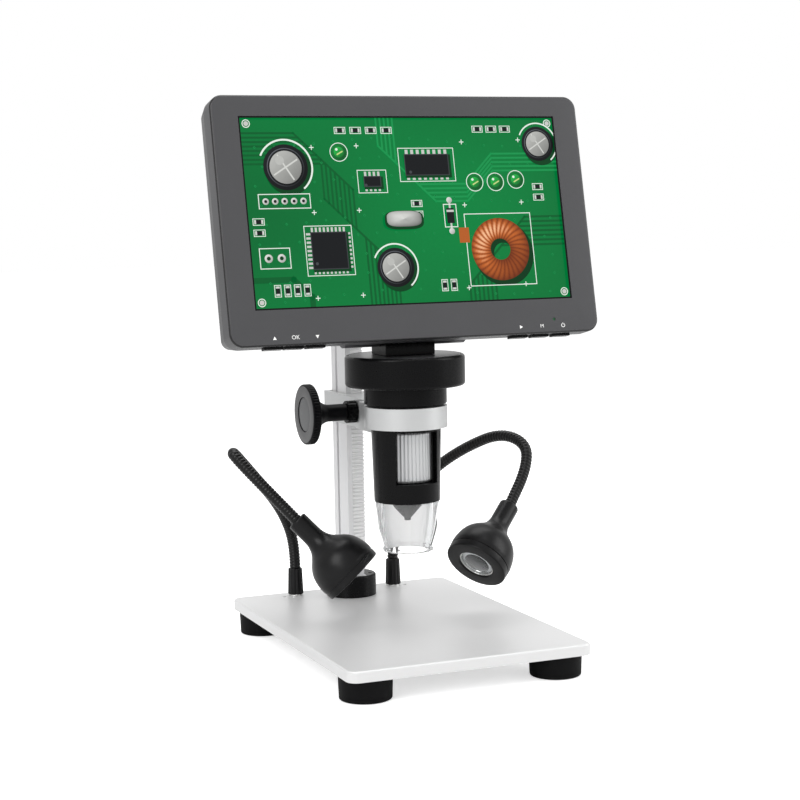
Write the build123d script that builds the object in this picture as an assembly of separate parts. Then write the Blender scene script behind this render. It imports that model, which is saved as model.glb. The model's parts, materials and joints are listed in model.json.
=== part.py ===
from build123d import *
import math
import os

# Bench microscope with its own screen. An aluminium plate on four rubber feet carries a square column
# with a toothed rack. A bracket climbs the rack by a knob and three gears, and its ring holds the camera
# head. A 7 inch monitor tilts on top of the head, and two lamps on goosenecks light the plate.
# Millimetres. The origin is on the ground under the plate's centre, +Z is up and -Y is the front.

os.makedirs("parts", exist_ok=True)

# ---------------------------------------------------------------- clearances
RUN = 0.06          # radial gap of a shaft that turns in its bore
FIT = 0.03          # radial gap of a pin or screw that stays in its hole
SEAT = 0.05         # gap between two faces that are pulled together
SLIDE = 0.15        # gap between pieces that slide past each other
OVER = 1.0          # how far a cut runs past the face it opens

# ---------------------------------------------------------------- stand
PLATE_W, PLATE_D, PLATE_T, PLATE_R, PLATE_EDGE = 116.0, 168.0, 5.0, 5.0, 0.6
PLATE_BACK = PLATE_D / 2
FOOT_R, FOOT_FLARE, FOOT_H = 11.6, 0.4, 10.5
FOOT_IN_X, FOOT_IN_Y = 12.3, 14.0             # from the plate's edges to the feet's centres
FOOT_X, FOOT_Y = PLATE_W / 2 - FOOT_IN_X, PLATE_BACK - FOOT_IN_Y
PLATE_Z = FOOT_H + PLATE_T                    # height of the stage, the plate's top
CLIP_OUT, CLIP_IN, CLIP_R = 1.3, 9.2, 1.0     # two pin holes for stage clips, near the back edge
CLIP_Y = PLATE_BACK - CLIP_IN

M3_R, M3_HEAD_R, M3_HEAD_H = 1.5, 2.8, 2.2
M2_R, M2_HEAD_R, M2_HEAD_H = 1.0, 1.7, 1.2
FOOT_SCREW_BITE = 4.0                         # length of the screw in the plate
WELL_GAP = 0.6                                # room round the foot screw's head

COLUMN_W, COLUMN_D, COLUMN_IN, COLUMN_TOP = 9.0, 20.0, 18.0, 190.0
COLUMN_Y = PLATE_BACK - COLUMN_IN
GROOVE_W, GROOVE_DEPTH, GROOVE_BACK = 2.6, 1.4, 5.6   # groove down each side of the column
RACK_LIP = 2.5                                # width of column left beside the rack
RACK_DEPTH = 3.4                              # rebate in the column's front that seats the rack
RACK_TOP_GAP, RACK_FOOT_GAP = 8.0, 3.0
COLLAR_R, COLLAR_H, COLLAR_EDGE = 12.4, 10.7, 1.0
COLLAR_HOLE_X, COLLAR_HOLE_FORE, COLLAR_HOLE_R, COLLAR_HOLE_DEEP = 8.3, 4.8, 1.0, 3.0
COLUMN_SCREW_R, COLUMN_SCREW_HEAD_R, COLUMN_SCREW_HEAD_H, COLUMN_SCREW_BITE = 2.5, 4.5, 2.6, 18.0
CAP_H, CAP_PLUG, CAP_R, CAP_CORNER = 2.0, 3.0, 1.8, 1.0

COVER_GAP, COVER_D, COVER_IN, COVER_H, COVER_WALL = 2.2, 18.0, 2.0, 6.0, 1.6
COVER_HALF = FOOT_X - FOOT_R - FOOT_FLARE - COVER_GAP         # the wiring cover lies between the rear feet
COVER_Y = (PLATE_BACK - COVER_IN - COVER_D, PLATE_BACK - COVER_IN)
CLIP_X = COVER_HALF + CLIP_OUT
LAMP_IN_X, LAMP_IN = 4.9, 8.25                # the lamps stand over the cover's ends
LAMP_X, LAMP_Y = COVER_HALF - LAMP_IN_X, PLATE_BACK - LAMP_IN
FERRULE_FOOT_R, FERRULE_TOP_R, FERRULE_H = 3.95, 3.45, 13.9
FERRULE_FLANGE_R, FERRULE_FLANGE_H = 3.7, 0.8
FERRULE_STUD_R, FERRULE_STUD_DOWN = 3.0, 2.5  # the stud, and how far it runs below the plate
FERRULE_FLOOR, FERRULE_WIRE_R = 2.0, 1.8      # seat of the gooseneck above the plate, and the wire's way
JACK_W, JACK_D, JACK_H, JACK_WALL, JACK_DEEP = 9.0, 10.0, 3.8, 0.7, 7.0
TONGUE_IN, TONGUE_T, TONGUE_SINK = 1.8, 0.8, 1.2      # the contact tongue inside the socket

# ---------------------------------------------------------------- focus drive
MODULE, TEETH, PRESSURE = 0.6, 15, math.radians(20)
ADDENDUM, DEDENDUM, BACKLASH = 0.51, 0.74, 0.14
GEAR_W, GEAR_X = 5.0, 1.25                    # tooth width, and the middle of the gears
PIN_R = 1.0
SHAFT_R = 1.5
SHAFT_BITE, PIN_BITE, BITE_ROOM = 1.9, 2.4, 0.3       # ends of the shaft and pins in the bracket
DRIVE_Z = 111.9                               # height of the knob's shaft

BLOCK_W, BLOCK_FRONT, BLOCK_BEHIND = 16.0, 12.0, 3.0    # the block ends behind the column's back
BLOCK_Z, BLOCK_EDGE = (104.1, 118.5), 1.0
PAD_T, PAD_END = 1.0, 0.5
GEAR_ROOM = 0.45                              # gap round the gears in their pocket
LID_T, LID_SIDE, LID_OVER, LID_END = 1.8, 1.0, 3.0, 2.0
LID_SCREW_SIDE, LID_SCREW_IN, LID_SCREW_BITE = 1.9, 2.5, 3.5
BUSH_R, BUSH_SLEEVE_R, BUSH_SLEEVE = 2.9, 3.2, 4.6
TENSION_R, TENSION_T, TENSION_GAP, TENSION_TEETH, TENSION_TOOTH_R = 5.4, 4.9, 0.2, 18, 0.45
KNOB_FACE_X, KNOB_R, KNOB_RIM_T, KNOB_EDGE = -34.4, 14.5, 4.0, 0.7
KNOB_SHAFT_IN = 3.0                           # how far behind the knob's face its shaft ends
KNOB_CONE_R, KNOB_WAIST_R, KNOB_CONE_L, KNOB_HUB_R, KNOB_HUB_FLARE = 11.5, 6.9, 7.3, 4.1, 0.6
KNOB_FLUTES, KNOB_FLUTE_R, KNOB_FLUTE_OUT = 40, 0.55, 0.15
KNOB_CAP_R, KNOB_CAP_T, KNOB_CAP_SINK, KNOB_CAP_EDGE = 8.1, 1.2, 0.2, 0.3

# ---------------------------------------------------------------- head
HEAD_Y = -10.2                                # the lens axis
RING_R, RING_Z = 19.3, (108.6, 118.6)
SADDLE_W, SADDLE_BACK, SADDLE_R, SADDLE_LIFT = 27.0, 17.0, 2.5, 1.4
SET_SCREW_Z, SET_SOCKET_R, SET_SOCKET_DEEP = 113.6, 0.8, 1.2
BARREL_TOP_R, BARREL_FOOT_R, BARREL_STEP = 16.2, 15.3, 0.1
BARREL_Z = (74.2, 127.8)
BARREL_CONE_TOP = 108.3
SHELL_T = 2.0
WINDOW_HALF_W, WINDOW_Z = 10.2, (83.2, 107.2)
WHEEL_R, WHEEL_RIB_R, WHEEL_RIBS, WHEEL_GAP = 12.0, 0.55, 38, 0.25
FLOOR_T = 2.0
RETAINER_T, RETAINER_LEDGE, RETAINER_GAP = 1.6, 0.9, 0.2
BOARD_T, SENSOR_LEDGE, SENSOR_Z = 1.2, 0.5, 112.6
CHIP_W, CHIP_H = 9.0, 1.5
PLUG_W, PLUG_Y, PLUG_H = 12.0, (4.0, 8.0), 3.0        # the camera cable's plug on the sensor board
CARRIER_R, CARRIER_TOP, CARRIER_BORE = 7.2, 103.0, 5.2
NOSE_TOP, NOSE_TIP, NOSE_R, NOSE_TIP_R = 73.4, 66.0, 6.8, 1.8
LENS_R, LENS_T, LENS_SINK, LENS_LIP = 1.2, 1.4, 0.2, 0.3
CARRIER_WEB, KEY_W, KEY_DEPTH, KEY_END = 2.0, 1.6, 0.7, 2.0
HOOD_T = 1.8
HOOD = ((14.9, 74.15), (13.7, 60.7), (11.2, 52.5), (10.7, 50.8))   # outer radius at each height
SPIGOT_R, SPIGOT_H = 13.4, 3.0
RING_BOARD_R, RING_BOARD_GAP, LEDS, LED_R, LED_H, LED_CIRCLE = 13.1, 0.3, 8, 1.2, 1.5, 9.9

COLLAR_TOP_R, COLLAR_GROOVE_R, COLLAR_GROOVE_H = 19.2, 18.0, 0.9
DISC_R, DISC_Z, DISC_T, DISC_EDGE = 27.8, (127.9, 142.2), 2.0, 0.8
DISC_HOLE_R, CABLE_R = 14.0, 2.5
NECK_HALF_W, NECK_Y = 12.2, (-17.5, 0.5)
NECK_SHOULDER = (148.4, 147.5)                # front and back heights of the neck's straight faces

# ---------------------------------------------------------------- monitor, in the screen's own frame
TILT = math.radians(11.85)                    # how far the screen leans back at rest
PICTURE_W, PICTURE_H = 154.2, 85.9            # a 7 inch panel's active area
PANEL_RIM_U, PANEL_RIM_V, PANEL_T = 5.3, 3.05, 5.0    # the panel reaches this far beyond its picture
FRAME_OUT_U, FRAME_OUT_TOP, FRAME_OUT_FOOT = 7.6, 7.0, 13.3   # and the frame this far beyond the panel
BEZEL_R, BEZEL_EDGE, PICTURE_GAP = 6.0, 1.2, 0.4
BEZEL_FRONT, SEAM, REAR = 1.75, -8.0, -20.0   # planes in front of and behind the picture
CASE_T, REAR_DRAFT, REAR_EDGE = 2.0, 10.0, 2.0
HINGE_UP, HINGE_BEHIND = 6.393, 20.941      # hinge above the frame's foot and behind the picture
HINGE_Y, HINGE_Z, HINGE_R, HINGE_HALF_W, HINGE_PIN_R = -8.5, 152.1, 5.9, 30.0, 2.0
HINGE_PIN_HALF, HINGE_ROOM, HINGE_EAR, POCKET_R = 24.0, 0.4, 6.0, 10.4
POCKET_WALL, POCKET_FRONT, POCKET_HEAD, POCKET_BACK = 2.2, 1.1, 1.6, 8.0
BUTTON_IN = (20.2, 29.9, 40.0, 40.4, 29.6, 18.7)      # from the nearer side of the frame
BUTTON_NAMES = ("up", "ok", "down", "mode", "photo", "power")
BUTTON_W, BUTTON_D, BUTTON_AT, BUTTON_PROUD = 8.7, 4.0, -3.0, 1.2
BUTTON_GAP, BUTTON_FLANGE, BUTTON_FLANGE_T = 0.2, 0.8, 1.0
BUTTON_STEM_R, BUTTON_STEM_L, BUTTON_TRAVEL = 1.2, 2.2, 0.5
SWITCH_GAP, SWITCH_H, SWITCH_W = 0.15, 2.4, 4.4
BUTTON_BOARD_IN, BUTTON_BOARD_W = 13.5, (-6.0, -0.5)
INDICATOR_IN, INDICATOR_UP, INDICATOR_R, INDICATOR_SINK = 23.0, 6.4, 0.7, 0.4
HOLDER_U, HOLDER_V, HOLDER_W = 1.0, 0.9, (-2.4, -0.6)        # block that holds the indicator lamp
MAIN_BOARD_IN, MAIN_BOARD_LONG, MAIN_BOARD_V, MAIN_BOARD_W = 6.0, 124.0, (-34.0, 30.0), -8.2
# Chips on the main board: in from its socket edge, up, size and height
CHIPS = ((74.0, 0.0, 14.0, 1.4), (44.0, 10.0, 10.0, 1.2), (104.0, -15.0, 12.0, 1.6), (49.0, -20.0, 9.0, 2.2))
POST_IN, POST_IN_SOCKETS, POST_R = 6.0, 16.0, 2.2     # posts that carry the board, in from its edges
SOCKETS = ((-22.0, 9.0, 3.2), (4.0, 14.0, 2.6))      # middle, width and height of each side socket
SOCKET_D, SOCKET_PROUD, SOCKET_WALL, SOCKET_FLOOR = 9.0, 2.0, 0.5, 2.0
CASE_SCREW_IN, CASE_SCREW_DOWN, CASE_SCREW_UP, BOSS_R, BOSS_BACK = 12.0, 4.5, 5.7, 2.3, 1.5
HEAD_GAP, CASE_SCREW_TIP = 0.2, 1.0
VENTS, VENT_W, VENT_L, VENT_PITCH, VENT_V = 9, 1.6, 26.0, 4.4, 22.0

# ---------------------------------------------------------------- lamps
GOOSE_R, BEAD_R, CUP_R, BEND_SHARE = 2.6, 2.75, 2.9, 0.45
LAMP_PROFILE = ((14.5, 0.0), (15.0, 0.5), (15.2, 3.3), (15.3, 6.0), (14.9, 9.0), (14.2, 12.0), (12.9, 14.8),
                (11.0, 17.2), (8.6, 19.4), (6.6, 21.6), (5.4, 24.2), (4.9, 27.0), (4.85, 37.2), (4.5, 38.0))
LAMP_PIVOT_OUT = 0.6                          # how far the lamp's joint lies beyond its neck
LAMP_LENS_R, LAMP_LENS_SINK, LAMP_LENS_T, LAMP_LENS_DOME = 8.6, 1.2, 2.4, 0.6
LAMP_OPEN_R, LAMP_BORE_R, LAMP_ROOM_END = 8.75, 2.0, 16.0
MODULE_R, MODULE_T, MODULE_RISE, SOURCE_R, SOURCE_T = 8.5, 1.7, 1.2, 3.0, 1.6
# Each gooseneck: its corners above the ferrule, how far along the run to the next corner its middle
# joint lies, the corners above that joint, and the lamp's middle and aim
NECK_START, NECK_STRAIGHT = 19.0, 38.5        # heights where a gooseneck starts and where it bends away
LEFT_LOW = ((-29.5, 74.3, 51.0), (-38.5, 67.0, 65.5), (-55.0, 52.0, 82.0))
LEFT_HIGH = ((-70.2, 36.8, 96.8), (-70.5, 29.2, 93.8))
LEFT_FACE, LEFT_AIM, LEFT_SHARE = (-21.9, 3.7, 37.5), (0.623, -0.334, -0.707), 0.58
RIGHT_LOW = ((33.5, 69.0, 63.0), (43.5, 57.5, 78.0), (54.5, 44.5, 89.0))
RIGHT_HIGH = ((66.5, 28.0, 97.5), (74.0, 13.5, 93.0), (70.5, 8.0, 81.0))
RIGHT_FACE, RIGHT_AIM, RIGHT_SHARE = (33.5, -12.3, 40.6), (-0.661, -0.39, -0.641), 0.5

UPWARD = (Align.CENTER, Align.CENTER, Align.MIN)
X_AXIS, Y_AXIS, Z_AXIS = (1, 0, 0), (0, 1, 0), (0, 0, 1)

# What follows from the sizes above
PITCH_R = MODULE * TEETH / 2
RACK_PITCH = math.pi * MODULE
COLUMN_FRONT, COLUMN_BACK = COLUMN_Y - COLUMN_D / 2, COLUMN_Y + COLUMN_D / 2
BLOCK_BACK = COLUMN_BACK + BLOCK_BEHIND
RACK_LINE = COLUMN_FRONT + ADDENDUM           # the rack's tips are level with the column's front
REAR_IDLER_Y = RACK_LINE - PITCH_R
FRONT_IDLER_Y = REAR_IDLER_Y - 2 * PITCH_R
SHAFT_Y = FRONT_IDLER_Y - 2 * PITCH_R
GEAR_TIP_R = PITCH_R + ADDENDUM
GEAR_ROOM_R = GEAR_TIP_R + GEAR_ROOM
POCKET_X = (GEAR_X - GEAR_W / 2 - GEAR_ROOM, GEAR_X + GEAR_W / 2 + GEAR_ROOM)
CHANNEL_HALF = COLUMN_W / 2 + PAD_T + SLIDE
CHANNEL_BACK = COLUMN_BACK + PAD_T + SLIDE
WHEEL_Z = (WINDOW_Z[0] + WHEEL_GAP, WINDOW_Z[1] - WHEEL_GAP)
FLOOR_TOP = WHEEL_Z[0] - WHEEL_GAP
INNER_R = BARREL_FOOT_R - SHELL_T
BARREL_NECK_R = BARREL_TOP_R + BARREL_STEP
LAMP_L = LAMP_PROFILE[-1][1]
LAMP_SEAT = LAMP_LENS_SINK + LAMP_LENS_T      # back of the lamp's lens, from the lamp's face
PANEL_W, PANEL_H = PICTURE_W + 2 * PANEL_RIM_U, PICTURE_H + 2 * PANEL_RIM_V
BEZEL_W = PANEL_W + 2 * FRAME_OUT_U
BEZEL_HALF = BEZEL_W / 2
BEZEL_TOP, BEZEL_BOTTOM = PANEL_H / 2 + FRAME_OUT_TOP, -PANEL_H / 2 - FRAME_OUT_FOOT
HINGE_V, HINGE_W = BEZEL_BOTTOM + HINGE_UP, -HINGE_BEHIND
SCREEN_UP = Vector(0, math.sin(TILT), math.cos(TILT))
SCREEN_OUT = Vector(0, -math.cos(TILT), math.sin(TILT))
SCREEN_AT = Vector(0, HINGE_Y, HINGE_Z) - HINGE_V * SCREEN_UP - HINGE_W * SCREEN_OUT
SCREEN = Plane(origin=SCREEN_AT, x_dir=X_AXIS, z_dir=SCREEN_OUT)
BUTTON_U = [-BEZEL_HALF + edge for edge in BUTTON_IN[:3]] + [BEZEL_HALF - edge for edge in BUTTON_IN[3:]]
BUTTON_BOARD_U = BEZEL_HALF - BUTTON_BOARD_IN
INDICATOR_U, INDICATOR_V = BEZEL_HALF - INDICATOR_IN, BEZEL_BOTTOM + INDICATOR_UP
MAIN_BOARD_U = (BEZEL_HALF - MAIN_BOARD_IN - MAIN_BOARD_LONG, BEZEL_HALF - MAIN_BOARD_IN)
CASE_SCREW_U = BEZEL_HALF - CASE_SCREW_IN
CASE_SCREW_V = (BEZEL_TOP - CASE_SCREW_DOWN, BEZEL_BOTTOM + CASE_SCREW_UP)

parts = {}


# ---------------------------------------------------------------- helpers
def block(x, y, z):
    """Box between three (low, high) pairs."""
    middle = Pos(sum(x) / 2, sum(y) / 2, sum(z) / 2)
    return middle * Box(abs(x[1] - x[0]), abs(y[1] - y[0]), abs(z[1] - z[0]))


def rod(radius, start, direction, length):
    """Round bar of the given length from start along direction."""
    return Plane(origin=start, z_dir=direction) * Cylinder(radius, length, align=UPWARD)


def turned(*corners):
    """Solid of revolution about Z from (radius, height) corners."""
    outline = Polyline(*[(radius, 0, height) for radius, height in corners], close=True)
    return revolve(make_face(outline), axis=Axis.Z)


def slab(plane, width, height, radius, start, end, draft=0.0):
    """Rectangle with round corners on a plane, from one distance along its normal to another."""
    base = plane.offset(start)
    outline = base * RectangleRounded(width, height, radius)
    toward = base.z_dir if end > start else -base.z_dir
    return extrude(outline, amount=abs(end - start), dir=toward, taper=draft)


def screw(radius, head_r, head_h, seat, direction, length):
    """Cheese head screw: its head lies before the seat, its shank runs from it along direction."""
    back = Vector(*direction).normalized() * -head_h
    head = rod(head_r, Vector(*seat) + back, direction, head_h)
    slot_w, slot_deep = head_r * 0.3, head_h * 0.4
    plane = Plane(origin=Vector(*seat) + back, z_dir=direction)
    slot = plane * (Pos(0, 0, slot_deep / 2) * Box(2.2 * head_r, slot_w, slot_deep))
    return head + rod(radius, seat, direction, length) - slot


def involute_half_angle(radius, thickness_at_pitch, base_r):
    """Half the angle that a tooth covers at a radius."""
    def involute(r):
        angle = math.acos(min(1.0, base_r / r))
        return math.tan(angle) - angle
    half_at_pitch = thickness_at_pitch / (2 * PITCH_R)
    return half_at_pitch + involute(PITCH_R) - involute(max(radius, base_r))


def gear(x, y, z, bore_r):
    """Spur gear about an axis along X, with the middle of one tooth toward +Y."""
    base_r = PITCH_R * math.cos(PRESSURE)
    root_r = PITCH_R - DEDENDUM
    radii = (root_r, base_r, (base_r + GEAR_TIP_R) / 2, GEAR_TIP_R)
    thickness = RACK_PITCH / 2 - BACKLASH / 2
    halves = [involute_half_angle(r, thickness, base_r) for r in radii]
    outline = []
    for tooth in range(TEETH):
        middle = 2 * math.pi * tooth / TEETH
        rising = [(r, middle - half) for r, half in zip(radii, halves)]
        falling = [(r, middle + half) for r, half in zip(radii, halves)][::-1]
        outline += [(r * math.cos(a), r * math.sin(a)) for r, a in rising + falling]
    plane = Plane(origin=(x - GEAR_W / 2, y, z), x_dir=Y_AXIS, z_dir=X_AXIS)
    blank = extrude(plane * make_face(Polyline(*outline, close=True)), amount=GEAR_W, dir=X_AXIS)
    return blank - rod(bore_r, (x - GEAR_W, y, z), X_AXIS, 2 * GEAR_W)


# ---------------------------------------------------------------- stand
def base_plate():
    """Stage plate with round corners, holes for the feet, column, lamps and stage clips."""
    plate = slab(Plane.XY, PLATE_W, PLATE_D, PLATE_R, FOOT_H, PLATE_Z)
    plate = chamfer(plate.edges().group_by(Axis.Z)[-1], PLATE_EDGE)
    for x in (-FOOT_X, FOOT_X):
        for y in (-FOOT_Y, FOOT_Y):
            plate -= rod(M3_R + FIT, (x, y, FOOT_H), Z_AXIS, FOOT_SCREW_BITE + SEAT)
    for side in (-1, 1):
        plate -= rod(CLIP_R, (side * CLIP_X, CLIP_Y, 0), Z_AXIS, 2 * PLATE_Z)
        plate -= rod(FERRULE_STUD_R + FIT, (side * LAMP_X, LAMP_Y, 0), Z_AXIS, 2 * PLATE_Z)
    plate -= rod(COLUMN_SCREW_R + FIT, (0, COLUMN_Y, 0), Z_AXIS, 2 * PLATE_Z)
    head_room = rod(COLUMN_SCREW_HEAD_R + SLIDE, (0, COLUMN_Y, FOOT_H), Z_AXIS, COLUMN_SCREW_HEAD_H)
    return plate - head_room


def feet():
    """Four rubber feet, a little wider at the top, with a well for the screw's head below."""
    foot = Cone(FOOT_R, FOOT_R + FOOT_FLARE, FOOT_H - SEAT, align=UPWARD)
    foot -= rod(M3_R + FIT, (0, 0, 0), Z_AXIS, FOOT_H)
    foot -= rod(M3_HEAD_R + WELL_GAP, (0, 0, 0), Z_AXIS, FOOT_H / 2)
    return Compound([Pos(x, y, 0) * foot for x in (-FOOT_X, FOOT_X) for y in (-FOOT_Y, FOOT_Y)])


def foot_screws():
    """The screws that hold the feet to the plate from below."""
    length = FOOT_H / 2 + FOOT_SCREW_BITE - SEAT
    one = screw(M3_R, M3_HEAD_R, M3_HEAD_H, (0, 0, FOOT_H / 2 - SEAT), Z_AXIS, length)
    return Compound([Pos(x, y, 0) * one for x in (-FOOT_X, FOOT_X) for y in (-FOOT_Y, FOOT_Y)])


def column():
    """Aluminium bar with a groove down each side, a rebate for the rack and a threaded end."""
    half = COLUMN_W / 2
    bar = block((-half, half), (COLUMN_FRONT, COLUMN_BACK), (PLATE_Z + SEAT, COLUMN_TOP))
    for side in (-1, 1):
        groove_y = (COLUMN_BACK - GROOVE_BACK - GROOVE_W, COLUMN_BACK - GROOVE_BACK)
        groove_x = sorted((side * (half - GROOVE_DEPTH), side * (half + OVER)))
        bar -= block(groove_x, groove_y, (PLATE_Z, COLUMN_TOP + OVER))
    rebate_y = (COLUMN_FRONT - OVER, COLUMN_FRONT + RACK_DEPTH)
    bar -= block((-half + RACK_LIP, half + OVER), rebate_y, (PLATE_Z + COLLAR_H, COLUMN_TOP + OVER))
    bar -= rod(COLUMN_SCREW_R + FIT, (0, COLUMN_Y, PLATE_Z), Z_AXIS, COLUMN_SCREW_BITE + OVER)
    return bar - rod(CAP_R + FIT, (0, COLUMN_Y, COLUMN_TOP - CAP_PLUG - SEAT), Z_AXIS, 2 * CAP_PLUG)


def rack():
    """Toothed strip in the column's front. A gap between two teeth faces the rear idler's middle."""
    low = PLATE_Z + COLLAR_H + RACK_FOOT_GAP
    high = COLUMN_TOP - RACK_TOP_GAP
    tip_y, root_y = RACK_LINE - ADDENDUM, RACK_LINE + DEDENDUM
    back_y = COLUMN_FRONT + RACK_DEPTH - SEAT
    at_pitch = (RACK_PITCH / 2 - BACKLASH / 2) / 2
    at_tip = at_pitch - ADDENDUM * math.tan(PRESSURE)
    at_root = at_pitch + DEDENDUM * math.tan(PRESSURE)
    first = math.ceil((low + at_root - DRIVE_Z) / RACK_PITCH - 0.5)
    last = math.floor((high - at_root - DRIVE_Z) / RACK_PITCH - 0.5)
    outline = [(back_y, low), (root_y, low)]
    for tooth in range(first, last + 1):
        z = DRIVE_Z + (tooth + 0.5) * RACK_PITCH
        outline += [(root_y, z - at_root), (tip_y, z - at_tip)]
        outline += [(tip_y, z + at_tip), (root_y, z + at_root)]
    outline += [(root_y, high), (back_y, high)]
    x = (-COLUMN_W / 2 + RACK_LIP + SEAT, COLUMN_W / 2)
    plane = Plane(origin=(x[0], 0, 0), x_dir=Y_AXIS, z_dir=X_AXIS)
    return extrude(plane * make_face(Polyline(*outline, close=True)), amount=x[1] - x[0], dir=X_AXIS)


def column_collar():
    """Round black collar that hides the column's foot and steadies it on the plate."""
    collar = Pos(0, COLUMN_Y, PLATE_Z + SEAT) * Cylinder(COLLAR_R, COLLAR_H, align=UPWARD)
    collar = fillet(collar.edges().group_by(Axis.Z)[-1], COLLAR_EDGE)
    hole = block((-COLUMN_W / 2 - SEAT, COLUMN_W / 2 + SEAT), (COLUMN_FRONT - SEAT, COLUMN_BACK + SEAT),
                 (PLATE_Z, PLATE_Z + 2 * COLLAR_H))
    for side in (-1, 1):
        at = (side * COLLAR_HOLE_X, COLUMN_Y - COLLAR_HOLE_FORE, PLATE_Z + COLLAR_H - COLLAR_HOLE_DEEP)
        collar -= rod(COLLAR_HOLE_R, at, Z_AXIS, 2 * COLLAR_HOLE_DEEP)
    return collar - hole


def column_screw():
    """Screw from under the plate into the column."""
    seat = (0, COLUMN_Y, FOOT_H + COLUMN_SCREW_HEAD_H)
    length = PLATE_T - COLUMN_SCREW_HEAD_H + COLUMN_SCREW_BITE - SEAT
    return screw(COLUMN_SCREW_R, COLUMN_SCREW_HEAD_R, COLUMN_SCREW_HEAD_H, seat, Z_AXIS, length)


def column_cap():
    """Plastic cap on the column's top with a plug into its bore."""
    cap = slab(Plane.XY, COLUMN_W, COLUMN_D, CAP_CORNER, COLUMN_TOP + SEAT, COLUMN_TOP + CAP_H)
    cap = Pos(0, COLUMN_Y, 0) * cap
    return cap + rod(CAP_R, (0, COLUMN_Y, COLUMN_TOP - CAP_PLUG), Z_AXIS, CAP_PLUG + CAP_H / 2)


def ferrules():
    """Tapered sleeves that hold the goosenecks, each with a bright flange and a threaded stud."""
    base = PLATE_Z + SEAT
    bore_r = GOOSE_R + RUN
    end = FOOT_H - FERRULE_STUD_DOWN
    one = turned(
        (bore_r, base + FERRULE_FLOOR), (bore_r, base + FERRULE_H), (FERRULE_TOP_R, base + FERRULE_H),
        (FERRULE_FOOT_R, base + FERRULE_FLANGE_H), (FERRULE_FLANGE_R, base + FERRULE_FLANGE_H),
        (FERRULE_FLANGE_R, base), (FERRULE_STUD_R, base), (FERRULE_STUD_R, end),
        (FERRULE_WIRE_R, end), (FERRULE_WIRE_R, base + FERRULE_FLOOR))
    return Compound([Pos(side * LAMP_X, LAMP_Y, 0) * one for side in (-1, 1)])


def wiring_cover():
    """Shallow tray under the plate's back that covers the lamps' wiring."""
    half, (front, back) = COVER_HALF, COVER_Y
    low = FOOT_H - COVER_H
    tray = block((-half, half), (front, back), (low, FOOT_H - SEAT))
    inside = block((-half + COVER_WALL, half - COVER_WALL), (front + COVER_WALL, back - COVER_WALL),
                   (low + COVER_WALL, FOOT_H))
    jack_z = low + COVER_WALL
    slot = block((-JACK_W / 2 - SEAT, JACK_W / 2 + SEAT), (back - 2 * COVER_WALL, back + OVER),
                 (jack_z, jack_z + JACK_H + SEAT))
    return tray - inside - slot


def power_socket():
    """Flat socket in the wiring cover's back wall that feeds the two lamps."""
    low = FOOT_H - COVER_H + COVER_WALL + SEAT / 2
    back = COVER_Y[1]
    shell = block((-JACK_W / 2, JACK_W / 2), (back - JACK_D, back), (low, low + JACK_H))
    mouth = block((-JACK_W / 2 + JACK_WALL, JACK_W / 2 - JACK_WALL), (back - JACK_DEEP, back + OVER),
                  (low + JACK_WALL, low + JACK_H - JACK_WALL))
    tongue = block((-JACK_W / 2 + TONGUE_IN, JACK_W / 2 - TONGUE_IN),
                   (back - JACK_DEEP - OVER, back - TONGUE_SINK),
                   (low + (JACK_H - TONGUE_T) / 2, low + (JACK_H + TONGUE_T) / 2))
    return shell - mouth + tongue


parts["base_plate"] = base_plate()
parts["rubber_feet"] = feet()
parts["foot_screws"] = foot_screws()
parts["column"] = column()
parts["column_rack"] = rack()
parts["column_collar"] = column_collar()
parts["column_screw"] = column_screw()
parts["column_cap"] = column_cap()
parts["lamp_ferrules"] = ferrules()
parts["wiring_cover"] = wiring_cover()
parts["power_socket"] = power_socket()


# ---------------------------------------------------------------- bracket and focus drive
LID_X = (POCKET_X[0] - LID_OVER - LID_SIDE, POCKET_X[1] + LID_OVER - LID_SIDE)
LID_Y = (SHAFT_Y - GEAR_ROOM_R - LID_OVER, COLUMN_FRONT - LID_END)
LID_SCREWS = [(POCKET_X[0] - LID_SCREW_SIDE, y) for y in (LID_Y[0] + LID_SCREW_IN, LID_Y[1] - LID_SCREW_IN)]


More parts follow.
